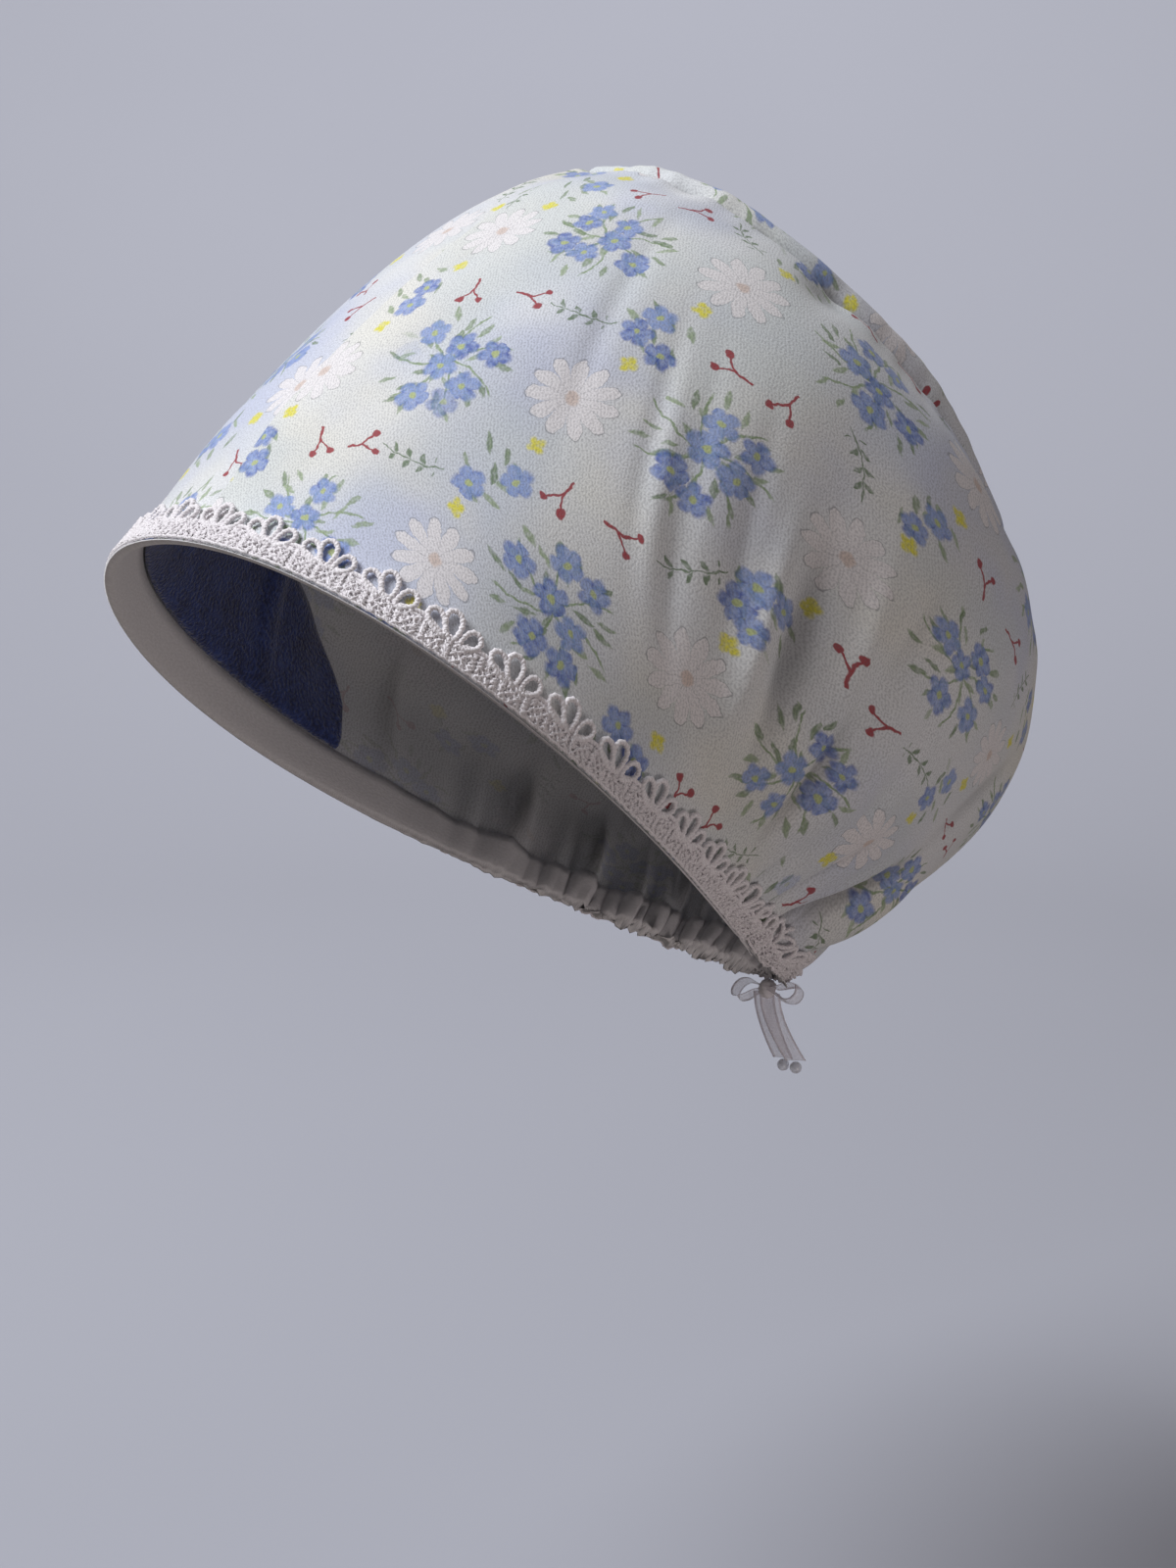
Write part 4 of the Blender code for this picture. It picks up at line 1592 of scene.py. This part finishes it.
@dataclass
class LaceTrim:
    """Crocheted thread lace along the outside of the edge."""

    form: CapForm
    width: float = 0.0115
    base_height: float = 0.0048
    pitch: float = 0.0165
    thread: float = 0.00056
    reach: float = 174.0
    clearance: float = 0.0006
    nape_crowding: float = 0.42
    # height above the edge, and where along its wave each braided thread starts
    braid: tuple = ((0.0011, 0.0), (0.0021, 0.5), (0.0031, 0.0), (0.0041, 0.5), (0.0050, 0.0))
    braid_step: float = 0.00036
    braid_wave: float = 0.0021
    braid_height: float = 0.00066
    fillers: tuple = (0.0010, 0.0020, 0.0030, 0.0040, 0.0049)
    filler_step: float = 0.0011
    # height above the edge, and radius
    cords: tuple = ((0.00030, 0.00042), (0.0053, 0.00040))
    cord_step: float = 0.0006
    # lean towards the nape in degrees, length, width and root, from the fan's middle
    petals: tuple = (
        (-46.0, 0.0062, 0.0043, -0.0016),
        (-8.0, 0.0068, 0.0045, 0.0002),
        (38.0, 0.0060, 0.0038, 0.0026),
    )

    def __post_init__(self) -> None:
        """Measure the edge once."""
        self.turns, self.lengths = self.form.edge_lengths()

    def lay(self, along: Array, height: Array, lift: Array) -> tuple[Array, Array]:
        """Lay flat lace on the cloth.

        Args:
            along: Each point's length along the edge from the forehead.
            height: Its height above the edge.
            lift: How far it stands off the cloth.

        Returns:
            The points, and arrows out of the cloth there.
        """
        turn = np.interp(along, self.lengths, self.turns)
        down = self.form.down_at(turn, height)
        out = self.form.outward("folded", turn, down, 0.6)
        return self.form.folded(turn, down) + out * (self.clearance + lift)[:, None], out

    def half_reach(self) -> float:
        """How far the lace goes from the forehead along the edge."""
        return float(np.interp(self.reach, self.turns, self.lengths))

    def base(self, thread: Material) -> Piece:
        """The dense crocheted strip: crossing wavy threads over a cord at the very edge.

        Args:
            thread: The thread's material.

        Returns:
            The dense strip.
        """
        half = self.half_reach()
        shell = Shell()
        along = np.linspace(-half, half, int(2 * half / self.braid_step))
        for height, start in self.braid:
            for phase in (0.0, 0.5):
                drift = 0.16 * np.sin(along * 911 + height * 9000) + 0.12 * np.sin(along * 1733 + phase * 5)
                wave = 2 * np.pi * (along / self.braid_wave + phase + start * 0.5 + drift)
                swing = 1 + 0.35 * np.sin(along * 1290 + height * 4000)
                up = height + self.braid_height * np.sin(wave) * swing
                lift = 0.00042 + 0.00022 * np.cos(wave + (0.0 if phase else np.pi))
                path, out = self.lay(along + 0.00030 * np.sin(2 * wave), up, lift)
                thick = self.thread * (0.66 + 0.16 * np.sin(along * 2 * np.pi / 0.0013 + phase * 9))
                shell.tube(path, thick, out, sides=4)
        along = np.linspace(-half, half, int(2 * half / self.filler_step))
        for height in self.fillers:
            path, out = self.lay(along, np.full_like(along, height), np.zeros_like(along))
            shell.tube(path, self.thread, out, sides=4)
        return shell.thing("lace_base", thread)

    def cord(self, thread: Material) -> Piece:
        """The two cords that edge the dense strip.

        Args:
            thread: The thread's material.

        Returns:
            The cords, as one piece.
        """
        half = self.half_reach()
        shell = Shell()
        along = np.linspace(-half, half, int(2 * half / self.cord_step))
        for height, radius in self.cords:
            wobble = 0.00012 * np.sin(along * 2 * np.pi / 0.0031)
            path, out = self.lay(along, height + wobble, np.full_like(along, 0.00030))
            shell.tube(path, radius * (1 + 0.14 * np.sin(along * 2 * np.pi / 0.0012)), out, sides=6)
        return shell.thing("lace_cords", thread)

    def fans(self, thread: Material) -> Piece:
        """The fans of open petals, three and three, that lean towards the forehead and the nape.

        Args:
            thread: The thread's material.

        Returns:
            The fans, as one piece.
        """
        half = self.half_reach()
        shell = Shell()
        for side in Side:
            start = self.pitch / 2
            while start < half - 0.004:
                behind = np.interp(start, self.lengths, self.turns)
                near = float(np.clip((behind - 88.0) / 24.0, 0, 1))
                shrink = 1 - self.nape_crowding * near
                for lean, reach, broad, root in self.petals:
                    tilt = math.radians(lean * (1 - 0.45 * near))
                    root = start + root * (1 - 0.5 * near)
                    self.petal(shell, side, root, tilt, reach * (1 + 0.12 * near), broad * shrink)
                self.arch(shell, side, start, self.pitch * shrink)
                start += self.pitch * shrink
        return shell.thing("lace_fans", thread)

    def petal(self, shell: Shell, side: Side, root: float, tilt: float, reach: float, broad: float) -> None:
        """One open petal, a loop of thread that starts and ends at the dense strip.

        Args:
            shell: The lace that it joins.
            side: The wearer's left or right.
            root: Where it starts along the edge.
            tilt: How far it leans towards the nape, in radians.
            reach: Its length.
            broad: Its width.
        """
        around = np.linspace(0.0, 2 * np.pi, 37)[:-1]
        out = (1 - np.cos(around)) / 2
        up = reach * out
        wide = broad / 2 * np.sin(around) * (0.55 + 0.62 * out)
        along = root + up * math.sin(tilt) + wide * math.cos(tilt)
        height = self.base_height - 0.0004 + up * math.cos(tilt) - wide * math.sin(tilt)
        height = np.maximum(height, self.base_height - 0.0012)
        lift = 0.00030 + 0.00030 * np.sin(around / 2)
        path, normal = self.lay(side.value * along, height, lift)
        knots = self.thread * (1.18 + 0.24 * np.sin(around * 13 + root * 900))
        shell.tube(path, knots, normal, sides=6, closed=True)

    def arch(self, shell: Shell, side: Side, start: float, span: float) -> None:
        """The low arch of thread that links one fan to the next.

        Args:
            shell: The lace that it joins.
            side: The wearer's left or right.
            start: Where the fan stands along the edge.
            span: How far off the next fan stands.
        """
        share = np.linspace(0, 1, 15)
        along = start + 0.0030 + (span - 0.0052) * share
        height = self.base_height + 0.0016 * np.sin(np.pi * share)
        path, normal = self.lay(side.value * along, height, np.full_like(share, 0.00035))
        shell.tube(path, self.thread, normal, sides=5)

    def build(self) -> list[Piece]:
        """Build the lace.

        Returns:
            The dense strip, the cords and the fans.
        """
        thread = TwistedThread("lace_thread", srgb(250, 245, 249)).material()
        pieces = [self.base(thread), self.cord(thread), self.fans(thread)]
        for piece in pieces:
            carry(piece, "lace_trim", "lace_trim")
        return pieces


@dataclass
class Bow:
    """The small sheer bow under the gathers at the nape, with a clear bead on each tail."""

    form: CapForm
    ribbon_width: float = 0.0062
    ribbon_thickness: float = 0.00016
    ribbon_turn: float = 36.0
    knot_size: float = 0.0062
    knot_inset: float = 0.0020
    knot_hang: float = 0.0038
    loop_length: float = 0.0125
    loop_tilt: float = 55.0
    loop_share: float = 0.74
    loop_depth: float = 0.0050
    tail_length: float = 0.0185
    tail_gap: float = 0.0010
    tail_twist: float = 10.0
    bead_diameter: float = 0.0037
    seam_gap: float = 0.0003
    # side, then how far the loop's end rises and the tail leans, as shares of their lengths
    halves: tuple = ((Side.LEFT, 0.057, 0.432), (Side.RIGHT, -0.250, 0.324))

    def knot_place(self) -> Array:
        """The middle of the knot, just in front of and below the edge at the nape."""
        nape = self.form.smooth(np.array([180.0]), np.array([EDGE]))[0]
        return nape - np.array([0, self.knot_inset, self.knot_hang])

    def ribbon(self, name: str, middles: Array, sides: Array, cup: float) -> Piece:
        """A thin ribbon.

        Args:
            name: The piece's name.
            middles: The points along its middle.
            sides: The unit arrow across its width at each point.
            cup: How far its edges curl, as a share of its width.

        Returns:
            The ribbon with its thickness.
        """
        ahead = unit(np.gradient(middles, axis=0))
        flatwise = np.cross(ahead, sides)
        share = np.linspace(-0.5, 0.5, 9)
        along = lengths_along(middles)
        ripple = 0.04 * np.sin(along / along[-1] * 9.0)[:, None] * np.sin(share * 7.0)[None, :]
        curl = (cup * (share**2 * 4 - 0.5)[None, :] + ripple) * self.ribbon_width
        points = (
            middles[:, None]
            + sides[:, None] * (share * self.ribbon_width)[None, :, None]
            + flatwise[:, None] * curl[:, :, None]
        )
        flat = np.stack(np.meshgrid(along, share * self.ribbon_width, indexing="ij"), axis=2)
        shell = Shell()
        shell.grid(points, flat)
        piece = shell.thing(name, self.sheer)
        apply_modifier(piece, "SOLIDIFY", thickness=self.ribbon_thickness, offset=0.0)
        piece.data.shade_smooth()
        return piece

    def loop(self, side: Side, rise: float) -> Piece:
        """A loop of ribbon out from the knot and back to it.

        Args:
            side: The wearer's left or right.
            rise: How far its end rises, as a share of its length.

        Returns:
            The loop.
        """
        around = np.linspace(0, math.pi, 41)
        out = np.sin(around) ** 0.85
        start = self.knot_size * 0.30
        away = start + (self.loop_length - start) * out
        deep = self.loop_depth / 2 * np.sin(2 * around) * 0.9 + 0.0008 * np.cos(around)
        lift = self.loop_length * rise * out
        tilt = math.radians(self.loop_tilt)
        shift = np.stack([side.value * away, deep * math.cos(tilt), lift + deep * math.sin(tilt)], axis=1)
        middles = self.knot_place() + shift
        pinch = np.tile([0.0, -math.sin(tilt), math.cos(tilt)], (len(around), 1)) * self.loop_share
        name = f"bow_loop_{side.name.lower()}"
        piece = self.ribbon(name, middles, pinch, 0.10)
        self.pinch(piece)
        return carry(piece, f"ribbon_loop_{side.name.lower()}", f"ribbon_loop_{side.name.lower()}")

    def pinch(self, piece: Piece) -> None:
        """Draw a piece together where it enters the knot.

        Args:
            piece: The piece, which is changed in place.
        """
        knot = Vector(self.knot_place())
        for corner in piece.data.vertices:
            away = corner.co - knot
            share = min(1.0, away.xy.length / (self.knot_size * 1.1))
            corner.co.z = knot.z + away.z * (0.42 + 0.58 * share)

    def tail(self, side: Side, lean: float) -> tuple[Piece, Array]:
        """A tail that hangs from the knot.

        Args:
            side: The wearer's left or right.
            lean: How far its end leans, as a share of its length.

        Returns:
            The tail, and the point at its end.
        """
        turn = math.radians(self.ribbon_turn)
        across = np.array([math.cos(turn), math.sin(turn), 0])
        beside = np.array([-math.sin(turn), math.cos(turn), 0]) * (side.value * -self.tail_gap)
        top = self.knot_place() + beside + across * (side.value * self.tail_gap)
        top = top - np.array([0, 0, self.knot_size / 2 + self.seam_gap])
        share = np.linspace(-0.12, 1, 30)
        bend = self.tail_length * lean * np.sign(share) * np.abs(share) ** 1.5
        middles = top + across * bend[:, None] - np.outer(self.tail_length * share, [0, 0, 1])
        twist = np.radians(self.ribbon_turn + side.value * self.tail_twist * share)
        arrows = np.stack([np.cos(twist), np.sin(twist), np.zeros_like(twist)], axis=1)
        name = f"bow_tail_{side.name.lower()}"
        piece = self.ribbon(name, middles, arrows, 0.05)
        node = f"ribbon_tail_{side.name.lower()}"
        return carry(piece, node, node), middles[-1]

    def bead(self, side: Side, end: Array) -> Piece:
        """A clear round bead just below a tail's end.

        Args:
            side: The wearer's left or right.
            end: The point at the tail's end.

        Returns:
            The bead.
        """
        clear_selection()
        middle = end - np.array([0, 0, self.bead_diameter / 2 + self.seam_gap])
        bpy.ops.mesh.primitive_uv_sphere_add(
            segments=36, ring_count=24, radius=self.bead_diameter / 2, location=middle
        )
        return self.finished(f"bow_bead_{side.name.lower()}", f"tail_bead_{side.name.lower()}", self.glass)

    def knot(self) -> Piece:
        """The wrapped knot, a squashed ball with the creases of the ribbon round it.

        Returns:
            The knot.
        """
        clear_selection()
        bpy.ops.mesh.primitive_uv_sphere_add(
            segments=40, ring_count=24, radius=self.knot_size / 2, location=self.knot_place()
        )
        knot = bpy.context.active_object
        for corner in knot.data.vertices:
            angle = math.atan2(corner.co.y, corner.co.x)
            lift = 1 + 0.07 * math.cos(5 * angle + 900 * corner.co.z) + 0.05 * math.cos(corner.co.z * 5200)
            corner.co = Vector((corner.co.x * 0.82 * lift, corner.co.y * 0.88 * lift, corner.co.z * 0.98))
        return self.finished("bow_knot", "ribbon_knot", self.sheer_knot)

    def finished(self, name: str, node: str, material: Material) -> Piece:
        """Name, place and dress the active object, which is a new ball.

        Args:
            name: The piece's name.
            node: The solid that it stands for, and its slot.
            material: Its finish.

        Returns:
            The piece.
        """
        piece = bpy.context.active_object
        pick(piece)
        bpy.ops.object.transform_apply(location=True, rotation=True, scale=True)
        bpy.ops.object.shade_smooth()
        piece.name = piece.data.name = name
        piece.data.uv_layers[0].name = "cloth"
        for corner in piece.data.uv_layers[0].data:
            corner.uv = corner.uv * 0.02
        piece.data.materials.append(material)
        log.info("%s: %d faces", name, len(piece.data.polygons))
        return carry(piece, node, node)

    def build(self) -> list[Piece]:
        """Build the bow.

        Returns:
            Its knot, loops, tails and beads.
        """
        self.sheer = SheerRibbon().material()
        self.sheer_knot = PlainCotton("ribbon_knot_wrap", srgb(250, 246, 252), 0.5).material()
        self.glass = ClearBead().material()
        pieces = [self.knot()]
        for side, rise, lean in self.halves:
            tail, end = self.tail(side, lean)
            pieces += [self.loop(side, rise), tail, self.bead(side, end)]
        return pieces


@dataclass
class Studio:
    """A plain pale floor that curves up behind, soft light and the camera."""

    floor_height: float = -0.300
    flat_radius: float = 1.1
    steepness: float = 0.55
    half_size: float = 3.2
    camera_place: tuple = (0.4371, -0.3968, 0.1223)
    right: tuple = (0.6947, 0.7193, 0.0)
    up: tuple = (-0.1447, 0.1397, 0.9796)
    back: tuple = (0.7047, -0.6805, 0.2011)
    lens: float = 34.85
    sensor: float = 24.0
    world_color: tuple = (1.0, 0.90, 0.84, 1)
    world_strength: float = 0.130
    # name, place, aim, size, power and colour
    lamps: tuple = (
        ("key", (-0.42, -1.06, 1.63), (0, 0, 0.03), 1.0, 41.5, (0.95, 0.97, 1.0)),
        ("rear_fill", (1.2, 0.40, 1.55), (0, 0, 0.03), 1.0, 2.0, (0.97, 0.97, 1.0)),
        ("bounce", (0.42, 0.02, -0.27), (0.03, 0.12, -0.04), 0.30, 0.55, (1.0, 0.90, 0.88)),
        ("backdrop", (-0.75, 0.75, 1.70), (-2.3, 2.2, 0.3), 1.2, 21.0, (0.96, 0.97, 1.0)),
    )

    def floor(self) -> None:
        """The floor, raised into a wide bowl away from the object."""
        clear_selection()
        bpy.ops.mesh.primitive_grid_add(
            x_subdivisions=96, y_subdivisions=96, size=2 * self.half_size, location=(0, 0, self.floor_height)
        )
        floor = bpy.context.active_object
        floor.name = "studio_floor"
        for corner in floor.data.vertices:
            beyond = max(0.0, corner.co.xy.length - self.flat_radius)
            corner.co.z += self.steepness * beyond**2
        bpy.ops.object.transform_apply(location=True, rotation=False, scale=False)
        bpy.ops.object.shade_smooth()
        finish = Finish("studio_paper")
        cloud = finish.cloud(finish.place(), 1.5, 2.0)
        finish.color(finish.mix(cloud, srgb(180, 182, 193), srgb(186, 188, 199)))
        finish.set(roughness=0.9, specular_ior_level=0.1)
        floor.data.materials.append(finish.material)
        floor.visible_diffuse = False

    def lamp(self, name: str, place: tuple, aim: tuple, size: float, power: float, color: tuple) -> None:
        """A square soft lamp.

        Args:
            name: The lamp's name.
            place: Where it stands.
            aim: The point it shines at.
            size: Its side length.
            power: Its power in watts.
            color: Its linear colour.
        """
        light = bpy.data.lights.new(name, "AREA")
        light.size = size
        light.energy = power
        light.color = color
        lamp = bpy.data.objects.new(name, light)
        bpy.context.scene.collection.objects.link(lamp)
        lamp.location = place
        lamp.rotation_euler = (Vector(aim) - Vector(place)).to_track_quat("-Z", "Y").to_euler()

    def lights(self) -> None:
        """A soft key from high in front, weak light from behind and below, and a dim surround."""
        for lamp in self.lamps:
            self.lamp(*lamp)
        world = bpy.data.worlds.new("studio")
        world.use_nodes = True
        shade = world.node_tree.nodes["Background"]
        shade.inputs["Color"].default_value = self.world_color
        shade.inputs["Strength"].default_value = self.world_strength
        bpy.context.scene.world = world

    def camera(self) -> None:
        """The camera at the photograph's place, with its field of view along the frame's height."""
        data = bpy.data.cameras.new("camera")
        data.sensor_width = self.sensor
        data.lens = self.lens
        data.clip_start = 0.02
        data.clip_end = 50.0
        camera = bpy.data.objects.new("camera", data)
        bpy.context.scene.collection.objects.link(camera)
        turned = Matrix((self.right, self.up, self.back)).transposed().to_4x4()
        camera.matrix_world = Matrix.Translation(self.camera_place) @ turned
        bpy.context.scene.camera = camera

    def build(self) -> None:
        """Build the studio."""
        self.floor()
        self.lights()
        self.camera()
        bpy.context.scene.view_settings.view_transform = "Standard"


def main() -> None:
    """Build every piece of the cap, declare its cloth, and set up the studio."""
    form = CapForm()
    Studio().build()
    band, crown = ClothShells(form).build()
    strips = EdgeStrips(form)
    facing = strips.facing()
    sweatband = strips.sweatband()
    lace = LaceTrim(form).build()
    bow = Bow(form).build()


if __name__ == "__main__":
    main()
